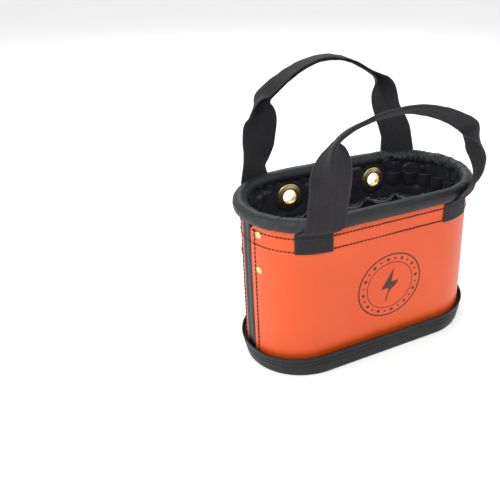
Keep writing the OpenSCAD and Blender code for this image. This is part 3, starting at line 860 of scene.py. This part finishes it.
CRUMPLE_A, CRUMPLE_B = Waves(41, 3, 22, 80, 20), Waves(42, 3, 9, 24, 20)
CUSPS = FIRST_CUSP + POCKET_W * np.arange(POCKET_N + 1)


def lining_off(a, z, pts):
    """Offset of the lining's inner face: crumpled cloth, held flat where pockets and grommets are sewn on."""
    loose = np.abs(CRUMPLE_A(pts[..., 0], pts[..., 1], pts[..., 2] * 1.4)) * 2.6
    loose += np.abs(CRUMPLE_B(pts[..., 0], pts[..., 1], pts[..., 2])) * 1.3
    near_rim = smooth(z, 190, 236)
    calm = np.ones_like(a)
    for side in (-1, 1):
        calm *= smooth(np.hypot(a - side * GROMMET_X, z - GROMMET_Z), 20, 34)
    calm *= 1 - 0.85 * smooth(-np.abs(np.abs(a) - half_round(z) / 2) + 44, 0, 14) * (a < 0)
    behind_loops = smooth(a, 98, 104) * (1 - smooth(a, 240, 248))
    calm *= 1 - 0.8 * behind_loops * smooth(z, 193, 198) * (1 - smooth(z, 220, 226))
    drift = 2 * CRUMPLE_A(pts[..., 0], pts[..., 1], 0 * z)
    gather = 2.2 * np.abs(np.sin(a * 0.21 + drift)) * near_rim
    return LINING_IN - calm * (loose * (0.55 + 0.45 * near_rim) + gather) - 0.1


def lining():
    """The lining's wall, with its two holes for the hanging grommets."""
    zs = np.concatenate([np.linspace(FLOOR_Z + 0.2, 180, 34), np.linspace(183, RIM_Z - 1, 26)])
    us = np.linspace(-1, 1, 520, endpoint=False)
    U, Z = np.meshgrid(us, zs, indexing="ij")
    A = U * half_round(Z)
    flat = wall_point(A, Z, LINING_IN)
    inner = wall_point(A, Z, lining_off(A, Z, flat))
    outer = wall_point(A, Z, LINING_IN + 0.9)
    rings = np.concatenate([inner, outer[:, ::-1]], 1)
    cloth = fix_normals(tube_mesh("lining_cloth", rings, M_LINING, closed=True))
    return cut_holes(cloth, [grommet_place(side) for side in (-1, 1)], GROMMET_HOLE_R)


lining_cloth = finish_piece(lining(), "lining_fabric", "lining_wall")

# ---- Pockets ----------------------------------------------------------------------------------

POCKET_U, POCKET_V = 27, 25
SETTLE_FRAMES, SETTLE_REACH = 24, 9.0      # how long the cloth is let go, and how far it may move
HEM_PROFILE = ((-0.7, 0), (-0.4, 0.85), (1.5, 0.95), (5.2, 0.9), (5.6, 0.5), (5.2, 0.4), (5.2, -0.4),
               (5.6, -0.5), (5.2, -0.9), (1.5, -0.95), (-0.4, -0.85))


def pocket_shape(index):
    """A pocket's cloth before it is let go: flat at the foot, standing open at the hem."""
    rng = np.random.default_rng(60 + index)
    u, v = np.linspace(0, 1, POCKET_U), np.linspace(0, 1, POCKET_V)
    U, V = np.meshgrid(u, v, indexing="ij")
    bulge = POCKET_BULGE * rng.uniform(0.8, 1.0)
    lean = rng.uniform(-0.12, 0.12)
    peak = np.clip(1 - np.abs(2 * (U + lean * U * (1 - U) * 2) - 1) ** 2.3, 0, 1)
    sag = 5.5 * rng.uniform(0.7, 1.2) * peak * V ** 4
    z = POCKET_FOOT + (POCKET_TOP - POCKET_FOOT) * V - sag
    a = CUSPS[index] + 0.5 + (POCKET_W - 1.0) * U
    ripple = 0.9 * np.sin(V * 9 + U * 5 + index) * peak * V * (1 - V) * 4
    off = LINING_IN - 0.9 - bulge * peak * V ** 1.25 - ripple
    return wall_point(a, z, off)


def let_cloth_settle(grids):
    """Lets the pockets' cloth settle under its own weight, pinned at its seams."""
    verts, faces, pinned = [], [], []
    for grid in grids:
        start = len(verts)
        verts += grid.reshape(-1, 3).tolist()
        faces += grid_faces(POCKET_U, POCKET_V, start=start)
        for i in range(POCKET_U):
            for j in range(POCKET_V):
                if i in (0, POCKET_U - 1) or j == 0:
                    pinned.append(start + i * POCKET_V + j)
    cloth = new_object("settling", verts, faces, M_POCKET)
    group = cloth.vertex_groups.new(name="seams")
    group.add(pinned, 1.0, "REPLACE")
    mod = cloth.modifiers.new("cloth", "CLOTH")
    fabric = mod.settings
    fabric.quality, fabric.mass = 6, 0.25
    fabric.tension_stiffness = fabric.compression_stiffness = 12
    fabric.shear_stiffness, fabric.bending_stiffness = 4, 0.3
    fabric.vertex_group_mass = "seams"
    fabric.shrink_min = -0.06          # the cloth is a little larger than its seams allow
    mod.collision_settings.use_collision = False
    scene = bpy.context.scene
    mod.point_cache.frame_start, mod.point_cache.frame_end = 1, SETTLE_FRAMES
    for step in range(1, SETTLE_FRAMES + 1):
        scene.frame_set(step)
    settled = cloth.evaluated_get(bpy.context.evaluated_depsgraph_get()).to_mesh()
    out = np.array([v.co for v in settled.vertices]) / MM
    scene.frame_set(1)
    bpy.data.objects.remove(cloth)
    return out.reshape(len(grids), POCKET_U, POCKET_V, 3)


def kept_inside(points, rest):
    """Keeps settled cloth inside the lining and near where it started."""
    move = points - rest
    far = np.linalg.norm(move, axis=-1, keepdims=True)
    points = rest + move * np.minimum(1, SETTLE_REACH / np.maximum(far, 1e-6))
    s, r = wall_s(points[..., 2]), wall_r(points[..., 2])
    x = np.sign(points[..., 0]) * np.maximum(np.abs(points[..., 0]) - s, 0)
    out = np.hypot(x, points[..., 1])
    limit = r + LINING_IN - 2.2
    scale = np.minimum(1, limit / np.maximum(out, 1e-6))
    fixed = points.copy()
    fixed[..., 0] += x * (scale - 1)
    fixed[..., 1] *= scale
    return fixed


def pockets():
    """Every pocket with its hem."""
    start = [pocket_shape(i) for i in range(POCKET_N)]
    shapes = start
    settled = let_cloth_settle(start)
    shapes = [kept_inside(p, rest) for p, rest in zip(settled, start)]
    for i, mid in enumerate(shapes):
        rings = sheet_rings(mid.transpose(1, 0, 2), 0.9)
        name = f"pocket_{i + 1:02d}"
        piece = subdivided(fix_normals(tube_mesh(f"cloth_{name}", rings, M_POCKET)))
        finish_piece(piece, "pocket_fabric", name)
        hem = pocket_hem(f"hem_{name}", mid)


def pocket_hem(name, mid):
    """A bound hem folded over the pocket's top edge."""
    top, below = mid[:, -1], mid[:, -2]
    down = unit(below - top)
    across = unit(np.gradient(top, axis=0))
    out = unit(np.cross(across, down))
    rings = np.array([top + down * d + out * o for d, o in HEM_PROFILE]).transpose(1, 0, 2)
    hem = subdivided(fix_normals(tube_mesh(name, rings, M_HEM)))
    return finish_piece(hem, "pocket_fabric")


pockets()


def pocket_seams():
    """Stitches down each pocket's edges and along its foot."""
    lines = []
    for cusp in CUSPS:
        z = np.linspace(POCKET_FOOT, POCKET_TOP, 40)
        for shift in (-1.6, 1.6):
            lines.append((wall_point(cusp + shift, z, LINING_IN - 1.8), -wall_out(0 * z + cusp, z)))
    a = np.linspace(CUSPS[0], CUSPS[-1], 500)
    lines.append((wall_point(a, POCKET_FOOT + 2, LINING_IN - 1.7), -wall_out(a, 0 * a + POCKET_FOOT)))
    return stitches("pocket_seams", lines, M_GREY_THREAD, 3.4, 1.6, 0.35)


finish_piece(pocket_seams(), "pocket_fabric")

# ---- Elastic loops ----------------------------------------------------------------------------

LOOP_N, LOOP_W, LOOP_FIRST, LOOP_Z, LOOP_H, LOOP_BULGE = 5, 27.0, 105.0, 199.0, 20.0, 9.0


def elastic_loops():
    """One band of elastic, sewn down between its loops."""
    a, off = [], []
    for i in range(LOOP_N):
        u = np.linspace(0, 1, 18)[(1 if i else 0):]
        a += list(LOOP_FIRST + LOOP_W * (i + u))
        bulge = LOOP_BULGE * (0.85 + 0.15 * math.sin(3 * i))
        off += list(LINING_IN - 1.9 - bulge * (1 - np.abs(2 * u - 1) ** 2.6))
    a, off = np.array(a), np.array(off)
    zs = np.linspace(LOOP_Z, LOOP_Z + LOOP_H, 9)
    mid = np.stack([wall_point(a, z + 0 * a, off) for z in zs], 1)
    band = subdivided(fix_normals(tube_mesh("elastic_loops", sheet_rings(mid, 1.3), M_ELASTIC)))
    finish_piece(band, "elastic_web", "tool_loop_band")
    lines = []
    for i in range(LOOP_N + 1):
        z = np.linspace(LOOP_Z + 2, LOOP_Z + LOOP_H - 2, 8)
        for shift in (-1.0, 1.0):
            at = LOOP_FIRST + LOOP_W * i + shift
            lines.append((wall_point(at, z, LINING_IN - 2.9), -wall_out(at + 0 * z, z)))
    finish_piece(stitches("elastic_stitches", lines, M_GREY_THREAD, 2.4, 0.9, 0.4), "elastic_web")


elastic_loops()

# ---- Knife sheath -----------------------------------------------------------------------------

SHEATH_T, SHEATH_W, SHEATH_Z = 2.5, 76.0, (88.0, 231.0)
POUCH_W, POUCH_Z, POUCH_BULGE = 50.0, (98.0, 222.0), 16.0
POUCH_OFF = LINING_IN - SHEATH_T - 1.6      # where the pouch's middle layer would lie flat
STITCH_IN = 3.2                             # how far the stitches lie in from the pouch's edge


def sheath_a(w, z):
    """Distance along the wall to the place w millimetres from the middle of the left end."""
    return -(wall_s(z) + math.pi / 2 * wall_r(z)) + w


def pouch_width(rise):
    """The pouch's half width, which narrows to its foot; rise runs from 0 at the foot to 1 at the mouth."""
    return POUCH_W / 2 * (1 - 0.3 * (1 - smooth(rise, 0, 0.35)))


def pouch_lift(rise, u):
    """How far the pouch stands off; u runs from -1 to 1 across it."""
    return (1 + (POUCH_BULGE - 1) * rise) * (1 - np.abs(u) ** 2.6)


def sheath():
    """A leather backing with a pouch that stands open at the top, sewn down its sides."""
    us, zs = np.linspace(-1, 1, 31), np.linspace(0, 1, 40)
    back, pouch = np.zeros((31, 40, 3)), np.zeros((31, 40, 3))
    for j, t in enumerate(zs):
        z = SHEATH_Z[0] + (SHEATH_Z[1] - SHEATH_Z[0]) * t
        narrow = 1 - 0.28 * (1 - smooth(t, 0, 0.3)) - 0.1 * smooth(t, 0.93, 1)
        back[:, j] = wall_point(sheath_a(us * SHEATH_W / 2 * narrow, z), z, LINING_IN - 1.5)
        z = POUCH_Z[0] + (POUCH_Z[1] - POUCH_Z[0]) * t
        dipped = z - 5 * smooth(t, 0.8, 1) * us ** 2
        pouch[:, j] = wall_point(sheath_a(us * pouch_width(t), dipped), dipped, POUCH_OFF - pouch_lift(t, us))
    pieces = (("sheath_backing", back, "sheath_back"), ("sheath_front", pouch, "sheath_pouch"))
    for name, grid, node in pieces:
        piece = subdivided(fix_normals(tube_mesh(name, sheet_rings(grid, SHEATH_T), M_TAN)))
        finish_piece(piece, "sheath_leather", node)
    lines = []
    z = np.linspace(POUCH_Z[0] + 3, POUCH_Z[1] - 4, 50)
    rise = (z - POUCH_Z[0]) / (POUCH_Z[1] - POUCH_Z[0])
    off = POUCH_OFF - pouch_lift(rise, 1 - STITCH_IN / pouch_width(rise)) - SHEATH_T / 2
    for side in (-1, 1):
        a = sheath_a(side * (pouch_width(rise) - STITCH_IN), z)
        lines.append((wall_point(a, z, off), -wall_out(a, z)))
    finish_piece(stitches("sheath_stitches", lines, M_GREY_THREAD, 3.6, 1.4, 0.5), "sheath_leather")


sheath()

# ---- Metal parts ------------------------------------------------------------------------------

def dome(radius, height, foot=0.0):
    """Profile of a pressed rivet head with a rounded edge."""
    pts = [(0.01, foot - 0.6), (radius * 0.8, foot - 0.6), (radius * 0.97, foot - 0.2),
           (radius, foot + height * 0.25)]
    for t in np.linspace(0.25, 1.35, 6):
        pts.append((radius * math.cos(t), foot + height * (0.25 + 0.75 * math.sin(t))))
    return pts + [(0.01, foot + height)]


def rivet_group(name, profile, depth, way, steps):
    """One turned piece at each rivet, depth off the wall's face, facing out (way 1) or in (way -1)."""
    pieces = []
    for z in RIVET_Z:
        for side in (-1, 1):
            at, out = rivet_place(z, side)
            place = place_on(at + out * depth, way * out)
            pieces.append(lathe("rivet", profile, place, M_BRASS, steps, False))
    return fix_normals(join(name, pieces))


wall_rivets = rivet_group("wall_rivets", dome(5.4, 1.5, 0.2), 0, 1, 36)
finish_piece(wall_rivets, "brass_hardware", "panel_rivets")


def grommet(name, side, inner_node, ring_node):
    """A brass grommet: a rolled flange inside, a tube through the wall and a flat ring outside."""
    at, out = grommet_place(side)
    r, inside = GROMMET_R, LINING_IN - 1.4
    flange = [(0, 0), (0.15, -1.6), (1.0, -2.5), (2.3, -2.7), (3.6, -2.3), (5.5, -1.5), (7.6, -1.1),
              (8.7, -0.7), (9.1, -0.1), (8.8, 0.2), (2.0, 0.2), (1.0, 0.6)]
    outer_ring = [(1.0, 0.3), (3.0, 0.2), (8.0, 0.2), (8.4, 0.5), (7.6, 0.95), (4.0, 1.35), (2.0, 1.5),
                  (0.6, 1.2), (0, 0.4)]
    profile = [(r + out_by, inside + up) for out_by, up in flange]
    profile += [(r + out_by, up) for out_by, up in outer_ring]
    brass_ring = fix_normals(lathe(name, profile, place_on(at, out), M_BRASS, 72))
    return finish_piece(brass_ring, "brass_hardware", inner_node, ring_node)


grommet("left_grommet", -1, "left_hang_grommet", "left_grommet_ring")
grommet("right_grommet", 1, "right_hang_grommet", "right_grommet_ring")


def grommet_washers():
    """Dark washers between the grommets' flanges and the lining."""
    objs = []
    for side in (-1, 1):
        at, out = grommet_place(side)
        low, r = LINING_IN - 1.35, GROMMET_HOLE_R
        profile = [(r, low), (24.6, low), (25.2, low + 0.4), (25.2, low + 1.1), (24.6, low + 1.3),
                   (r, low + 1.3)]
        objs.append(lathe("washer", profile, place_on(at, out), M_RUBBER, 72))
    return fix_normals(join("grommet_washers", objs))


finish_piece(grommet_washers(), "patch_rubber", "grommet_patches")


sheath_burrs = rivet_group("sheath_burrs", dome(4.6, 1.4), LINING_IN - SHEATH_T - 0.2, -1, 32)
finish_piece(sheath_burrs, "brass_hardware", "rivet_burrs")


def sheath_studs():
    """Four studs that hold the pouch's sides to its backing."""
    objs = []
    for z in (112.0, 208.0):
        for side in (-1, 1):
            turn = math.pi + side * (POUCH_W / 2 - 4) / wall_r(z)
            out = np.array([math.cos(turn), math.sin(turn), 0])
            rise = (z - POUCH_Z[0]) / (POUCH_Z[1] - POUCH_Z[0])
            seat = SHEATH_T + 0.9 + pouch_lift(rise, 1 - 7.5 / (POUCH_W / 2))
            at = np.array([-wall_s(z), 0, z]) + (wall_r(z) + LINING_IN - SHEATH_T - seat) * out
            objs.append(lathe("stud", dome(3.5, 1.4), place_on(at, -out), M_BRASS, 28, False))
    return fix_normals(join("sheath_rivets", objs))


finish_piece(sheath_studs(), "brass_hardware", "sheath_studs")

# ---- Printed mark -----------------------------------------------------------------------------

MARK_X, MARK_Z, MARK_R = 6.0, 118.0, 54.0
INK_TOP, INK_FOOT = 0.12, -0.3     # the ink's two faces, measured out from the wall


def on_front(x, z, lift):
    """A point on the front wall's flat part, lift millimetres proud of it."""
    wave = 0.35 * SHELL_WAVE(np.array(half_round(z) - x), np.array(z))
    return np.array([x, -(wall_r(z) + lift + wave), z])


def circle(radius, count, x=MARK_X, z=MARK_Z):
    turns = np.linspace(0, 2 * math.pi, count, endpoint=False)
    return [(x + radius * math.cos(t), z + radius * math.sin(t)) for t in turns]


def add_band(verts, faces, outer, inner):
    """Adds a thin closed band of ink between two loops with the same number of points."""
    base, n = len(verts), len(outer)
    for lift in (INK_TOP, INK_FOOT):
        verts.extend(on_front(x, z, lift) for x, z in outer + inner)
    o, i, ob, ib = base, base + n, base + 2 * n, base + 3 * n
    for k in range(n):
        j = (k + 1) % n
        faces.extend([(o + k, o + j, i + j, i + k), (ob + k, ib + k, ib + j, ob + j),
                      (o + k, ob + k, ob + j, o + j), (i + k, i + j, ib + j, ib + k)])


def printed_mark():
    """A plain ring with dots and a lightning bolt, printed on the front."""
    verts, faces = [], []
    for outer, inner in ((MARK_R, MARK_R - 2.3), (MARK_R - 14.5, MARK_R - 15.7)):
        add_band(verts, faces, circle(outer, 128), circle(inner, 128))
    bolt = [(5, 29), (-15, -4), (-2, -4), (-7, -29), (15, 6), (2, 6)]
    base, n = len(verts), len(bolt)
    for lift in (INK_TOP, INK_FOOT):
        verts += [on_front(MARK_X + x, MARK_Z + z, lift) for x, z in bolt]
    tris = [(0, 1, 5), (1, 2, 5), (2, 4, 5), (2, 3, 4)]
    faces += [tuple(base + i for i in t) for t in tris]
    faces += [tuple(base + n + i for i in t[::-1]) for t in tris]
    faces += [(base + i, base + (i + 1) % n, base + n + (i + 1) % n, base + n + i) for i in range(n)]
    for k in range(24):
        t = 2 * math.pi * (k + 0.5) / 24
        away = MARK_R - 8.4
        x0, z0 = MARK_X + away * math.cos(t), MARK_Z + away * math.sin(t)
        radius = 1.7 if k % 2 else 2.6
        add_band(verts, faces, circle(radius, 14, x0, z0), circle(0.02 * radius, 14, x0, z0))
    return fix_normals(new_object("printed_mark", verts, faces, M_INK, smooth_shade=False))


finish_piece(printed_mark(), "seam_trim")

# ---- Handles ----------------------------------------------------------------------------------

# Stations along each handle's fold line, left to right, as in the CAD: x, height above the hinge line,
# distance inside the leaning plane, direction of the fold from straight inward, its tilt, and how far
# each half of the strap is opened out from the fold (90 is flat).
FRONT_LEAN, BACK_LEAN = 12.0, 5.0
FRONT_ROUTE = [
    (-104, 0.5, 7, 12, 0, 90, 90), (-103.5, 24, 6, 16, 0, 90, 90), (-104, 48, 5, 20, 0, 88, 86),
    (-105.5, 70, 4, 22, 0, 82, 46), (-107, 88, 3, 26, -4, 50, 10), (-105, 104, 3, 26, -14, 6, 0),
    (-92, 118, 3, 12, -24, 0, 0), (-66, 131, 3, 4, -29, 0, 0), (-34, 139, 3, 0, -30, 0, 0),
    (0, 141, 3, 0, -30, 0, 0), (32, 136.5, 3, -4, -34, 0, 0), (62, 127, 3, -14, -40, 0, 0),
    (88, 115.5, 3, -30, -40, 2, 2), (107, 104, 4, -66, -28, 20, 20), (114, 86, 5, -88, -8, 60, 60),
    (119, 64, 8, -92, 0, 86, 86), (127, 38, 12, -80, 0, 90, 90), (135, 14, 13, -46, 0, 90, 90),
    (137.5, 0.5, 12, -28, 0, 90, 90)]
BACK_ROUTE = [
    (-127.5, 0.5, 12, 26, 0, 90, 90), (-122.5, 14, 11, 28, 0, 90, 90), (-113, 40, 8, 4, 0, 90, 90),
    (-108.5, 60, 6, 0, 0, 86, 86), (-107, 78, 5, 4, 0, 64, 64), (-111, 96, 4, 10, -8, 30, 30),
    (-106, 111, 3, 14, -22, 6, 6), (-89, 123, 3, 10, -22, 0, 0), (-67, 135, 3, 4, -14, 0, 0),
    (-39, 146, 3, 0, -5, 0, 0), (-10, 152, 3, 0, 0, 0, 0), (18, 151, 3, 0, 0, 0, 0),
    (44, 143.5, 3, 0, 0, 0, 0), (66, 132.5, 3, 0, -4, 0, 0), (86, 119.5, 3, 2, -4, 6, 6),
    (96, 105, 3, -4, -4, 38, 38), (103, 83, 5, 0, 0, 72, 72), (113.5, 55, 7, 5, 0, 90, 90),
    (125, 26, 10, -14, 0, 90, 90), (128, 0.5, 12, -26, 0, 90, 90)]
TAB_FOOT, TAB_TOP = tab_low[2], tab_high[2]
TABS = {(-1, -1): (115.5, 102.0), (-1, 1): (115.5, 132.0), (1, -1): (124.0, 124.0), (1, 1): (124.0, 124.0)}
FOLD_R = 1.6                       # radius of the fold's bend
ACROSS = np.linspace(-1, 1, 33)


def catmull(rows, per):
    """Smooth rows through key rows, per steps for each span."""
    rows = np.asarray(rows, float)
    padded = np.concatenate([2 * rows[:1] - rows[1:2], rows, 2 * rows[-1:] - rows[-2:-1]])
    out = []
    for i in range(len(rows) - 1):
        p0, p1, p2, p3 = padded[i:i + 4]
        for t in np.arange(per) / per:
            out.append(0.5 * (2 * p1 + (p2 - p0) * t + (2 * p0 - 5 * p1 + 4 * p2 - p3) * t ** 2
                              + (3 * p1 - p0 - 3 * p2 + p3) * t ** 3))
    return np.array(out + [rows[-1]])


def rim_stand(z):
    """How far the rim stands out from the wall's face at height z."""
    dz = np.minimum(z - RIM_Z, 0)
    side = RIM_R ** 2 - dz ** 2
    return np.where(side <= 0, 0, RIM_PATH_R + np.sqrt(np.maximum(side, 0)) - wall_r(z))


def tab_rows(facing, side):
    """Rows of the strap on the wall and round the rim, from the sewn foot upward."""
    foot_a, top_a = TABS[(facing, side)]
    rows = []
    for z in (TAB_FOOT, 206, 211, 217, 223, 227.5, 230, 231.4, 232.3, 233.4, 235.0, 237.2, 240.2, 243.6):
        slide = smooth(z, 229, TAB_TOP)
        a = side * (foot_a + (top_a - foot_a) * slide + ACROSS * WEB_W / 2 * side)
        p = wall_point(a, z, np.maximum(0.25, rim_stand(z) + 0.45) + WEB_T / 2)
        p[:, 1] *= facing
        rows.append(p)
    return rows


def loop_rows(facing, lean, route):
    """Rows of the strap off the bucket, from the left hinge end to the right one."""
    st = catmull(route, 7)
    lean = math.radians(lean)
    line = np.stack([st[:, 0], facing * (HINGE_Y + st[:, 1] * math.sin(lean) - st[:, 2]),
                     HINGE_Z + st[:, 1] * math.cos(lean)], -1)
    tangent = unit(np.gradient(line, axis=0))
    yaw, tilt = np.radians(st[:, 3]), np.radians(st[:, 4])
    g = np.stack([np.sin(yaw) * np.cos(tilt), -facing * np.cos(yaw) * np.cos(tilt), np.sin(tilt)], -1)
    g = unit(g - (g * tangent).sum(1, keepdims=True) * tangent)
    p = np.cross(tangent, g)
    closing = np.radians(90 - np.clip(st[:, 5:7], 0, 90))
    rows = []
    d = np.linspace(0, WEB_W / 2, 120)
    q = np.abs(ACROSS) * WEB_W / 2
    for k in range(len(st)):
        s, w = np.zeros(len(ACROSS)), np.zeros(len(ACROSS))
        for half, side in ((0, -1), (1, 1)):
            angle = closing[k, half] * np.clip(d / max(closing[k, half] * FOLD_R, 1e-6), 0, 1)
            sideways = np.concatenate([[0], np.cumsum(np.cos(angle[:-1]) * d[1])])
            inward = np.concatenate([[0], np.cumsum(np.sin(angle[:-1]) * d[1])])
            here = ACROSS * side > 0
            s[here], w[here] = side * np.interp(q, d, sideways)[here], np.interp(q, d, inward)[here]
        rows.append(line[k] + g[k] * (w + WEB_T / 2)[:, None] + p[k] * s[:, None])
    return rows


def even_rows(rows, step=2.4):
    """The same ribbon with rows at even distances along its middle."""
    rows = np.asarray(rows)
    middle = rows[:, len(ACROSS) // 2]
    run = np.concatenate([[0], np.cumsum(np.linalg.norm(np.diff(middle, axis=0), axis=1))])
    at = np.linspace(0, run[-1], int(run[-1] / step))
    index = np.interp(at, run, np.arange(len(run)))
    low = np.minimum(index.astype(int), len(rows) - 2)
    part = (index - low)[:, None, None]
    return rows[low] * (1 - part) + rows[low + 1] * part, at


def smoothed(rows, times, keep=0):
    """Rows relaxed along the ribbon, leaving the first and last keep rows alone."""
    rows = rows.copy()
    for _ in range(times):
        mean = (rows[:-2] + 2 * rows[1:-1] + rows[2:]) / 4
        inner = slice(keep, len(mean) - keep)
        rows[1:-1][inner] = mean[inner]
    return rows


def handle(name, facing, lean, route):
    """A strap from one sewn end to the other, bending over the rim; the mesh is baked in place and rides on
    no body.
    """
    left, right = tab_rows(facing, -1), tab_rows(facing, 1)
    loop = loop_rows(facing, lean, route)
    if np.dot(left[-1][-1] - left[-1][0], loop[0][-1] - loop[0][0]) < 0:
        left = [row[::-1] for row in left]
    if np.dot(right[-1][-1] - right[-1][0], loop[-1][-1] - loop[-1][0]) < 0:
        right = [row[::-1] for row in right]
    keys = left + loop[6:-6] + right[::-1]
    # no row lies between a sewn end and the loop, so a smooth curve is laid over each of the two hinges
    a, b = len(left), len(keys) - len(right)
    over_a, over_b = catmull(keys[a - 4:a + 4], 6), catmull(keys[b - 4:b + 4], 6)
    rows = keys[:a - 4] + list(over_a) + keys[a + 4:b - 4] + list(over_b) + keys[b + 4:]
    rows, run = even_rows(rows, 2.2)
    rows = smoothed(rows, 3, 16)
    wobble = Waves(70 + facing, 2, 18, 70, 10)(run[:, None], ACROSS[None, :] * 25)
    free = smooth(np.minimum(run, run[-1] - run), 50, 75)       # 0 on the sewn ends, 1 on the loop
    rows = rows + grid_normals(rows) * (0.5 * wobble * free[:, None])[..., None]
    edge = np.abs(ACROSS)
    thick = WEB_T * (1 + 0.12 * smooth(edge, 0.9, 0.97) - 0.25 * smooth(edge, 0.97, 1.0))
    rings = sheet_rings(rows, np.broadcast_to(thick, rows.shape[:2]))
    uv = ring_uvs(run, (ACROSS + 1) * WEB_W / 2)
    strap = fix_normals(tube_mesh(name, rings, M_WEB, uvs=uv))
    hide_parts(*[f"{name}_{part}" for part in ("left_tab", "right_tab", "loop")])
    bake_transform(strap)


handle("front_handle", -1, FRONT_LEAN, FRONT_ROUTE)
handle("back_handle", 1, BACK_LEAN, BACK_ROUTE)


def tab_line(facing, side, us, zs):
    """A line of stitches on a sewn end: us runs from -1 to 1 across the stitched box."""
    a = side * (TABS[(facing, side)][0] + us * (WEB_W / 2 - 3))
    p, out = wall_point(a, zs, WEB_T + 0.4), wall_out(a, zs)
    p[:, 1] *= facing
    out[:, 1] *= facing
    return p, out


def tab_stitches():
    """A box of stitches on each sewn end."""
    lines = []
    u, one = np.linspace(-1, 1, 30), np.ones(30)
    z = np.linspace(TAB_FOOT + 4, 224, 30)
    for facing in (-1, 1):
        for side in (-1, 1):
            for across, up in ((u, TAB_FOOT + 3.2 + 0 * u), (u, 224.5 + 0 * u), (-one, z), (one, z)):
                lines.append(tab_line(facing, side, across, up))
    return stitches("tab_stitches", lines, M_GREY_THREAD, 2.9, 1.3, 0.36)


finish_piece(tab_stitches(), "webbing")

# ---- Studio -----------------------------------------------------------------------------------

def floor_material():
    m = Nodes("studio_floor")
    tint = m.ramp(m.noise(2.0, 2.0), [(0.3, (0.86, 0.86, 0.86)), (0.7, (0.88, 0.88, 0.88))])
    return m.set(Base_Color=tint, Roughness=0.8, Emission_Color=(1, 1, 1, 1), Emission_Strength=0.3)


def studio():
    """A plain pale floor under soft light."""
    mesh = bpy.data.meshes.new("studio_floor")
    size = 12.0
    corners = [(-size, -size, 0), (size, -size, 0), (size, size, 0), (-size, size, 0)]
    mesh.from_pydata(corners, [], [(0, 1, 2, 3)])
    floor = bpy.data.objects.new("studio_floor", mesh)
    floor.location.z = -0.0005
    mesh.materials.append(floor_material())
    bpy.context.scene.collection.objects.link(floor)
    world = bpy.data.worlds.new("studio")
    world.use_nodes = True
    world.node_tree.nodes["Background"].inputs["Color"].default_value = (1, 1, 1, 1)
    world.node_tree.nodes["Background"].inputs["Strength"].default_value = 0.62
    bpy.context.scene.world = world
    for name, at, size, power in (("key", (-1.0, -1.5, 1.9), 1.3, 27), ("fill", (1.6, -1.2, 1.2), 1.8, 8),
                                  ("back", (0.4, 1.7, 1.9), 1.4, 24), ("side", (-1.5, 0.1, 0.7), 0.9, 9)):
        light = bpy.data.lights.new(name, "AREA")
        light.energy, light.size = power, size
        lamp = bpy.data.objects.new(name, light)
        lamp.location = at
        lamp.rotation_euler = (Vector((0, 0, 0.15)) - Vector(at)).to_track_quat("-Z", "Y").to_euler()
        bpy.context.scene.collection.objects.link(lamp)


def camera():
    """The camera looks down at the bucket from the front left."""
    azimuth, elevation, roll = math.radians(-30.45), math.radians(29.71), math.radians(1.01)
    target, distance = Vector((0, 0, 0.12)), 0.9432
    level = math.cos(elevation)
    back = Vector((math.sin(azimuth) * level, -math.cos(azimuth) * level, math.sin(elevation)))
    right = Vector((math.cos(azimuth), math.sin(azimuth), 0))
    up = back.cross(right)
    right, up = math.cos(roll) * right + math.sin(roll) * up, -math.sin(roll) * right + math.cos(roll) * up
    data = bpy.data.cameras.new("camera")
    data.sensor_width = 36
    data.lens = 43.33
    data.shift_x, data.shift_y = -0.2146, 0.0188
    data.clip_start = 0.02
    cam = bpy.data.objects.new("camera", data)
    turn = Matrix((right, up, back)).transposed().to_4x4()
    cam.matrix_world = Matrix.Translation(target + distance * back) @ turn
    bpy.context.scene.collection.objects.link(cam)
    bpy.context.scene.camera = cam


studio()
camera()
bpy.context.scene.view_settings.view_transform = "Standard"
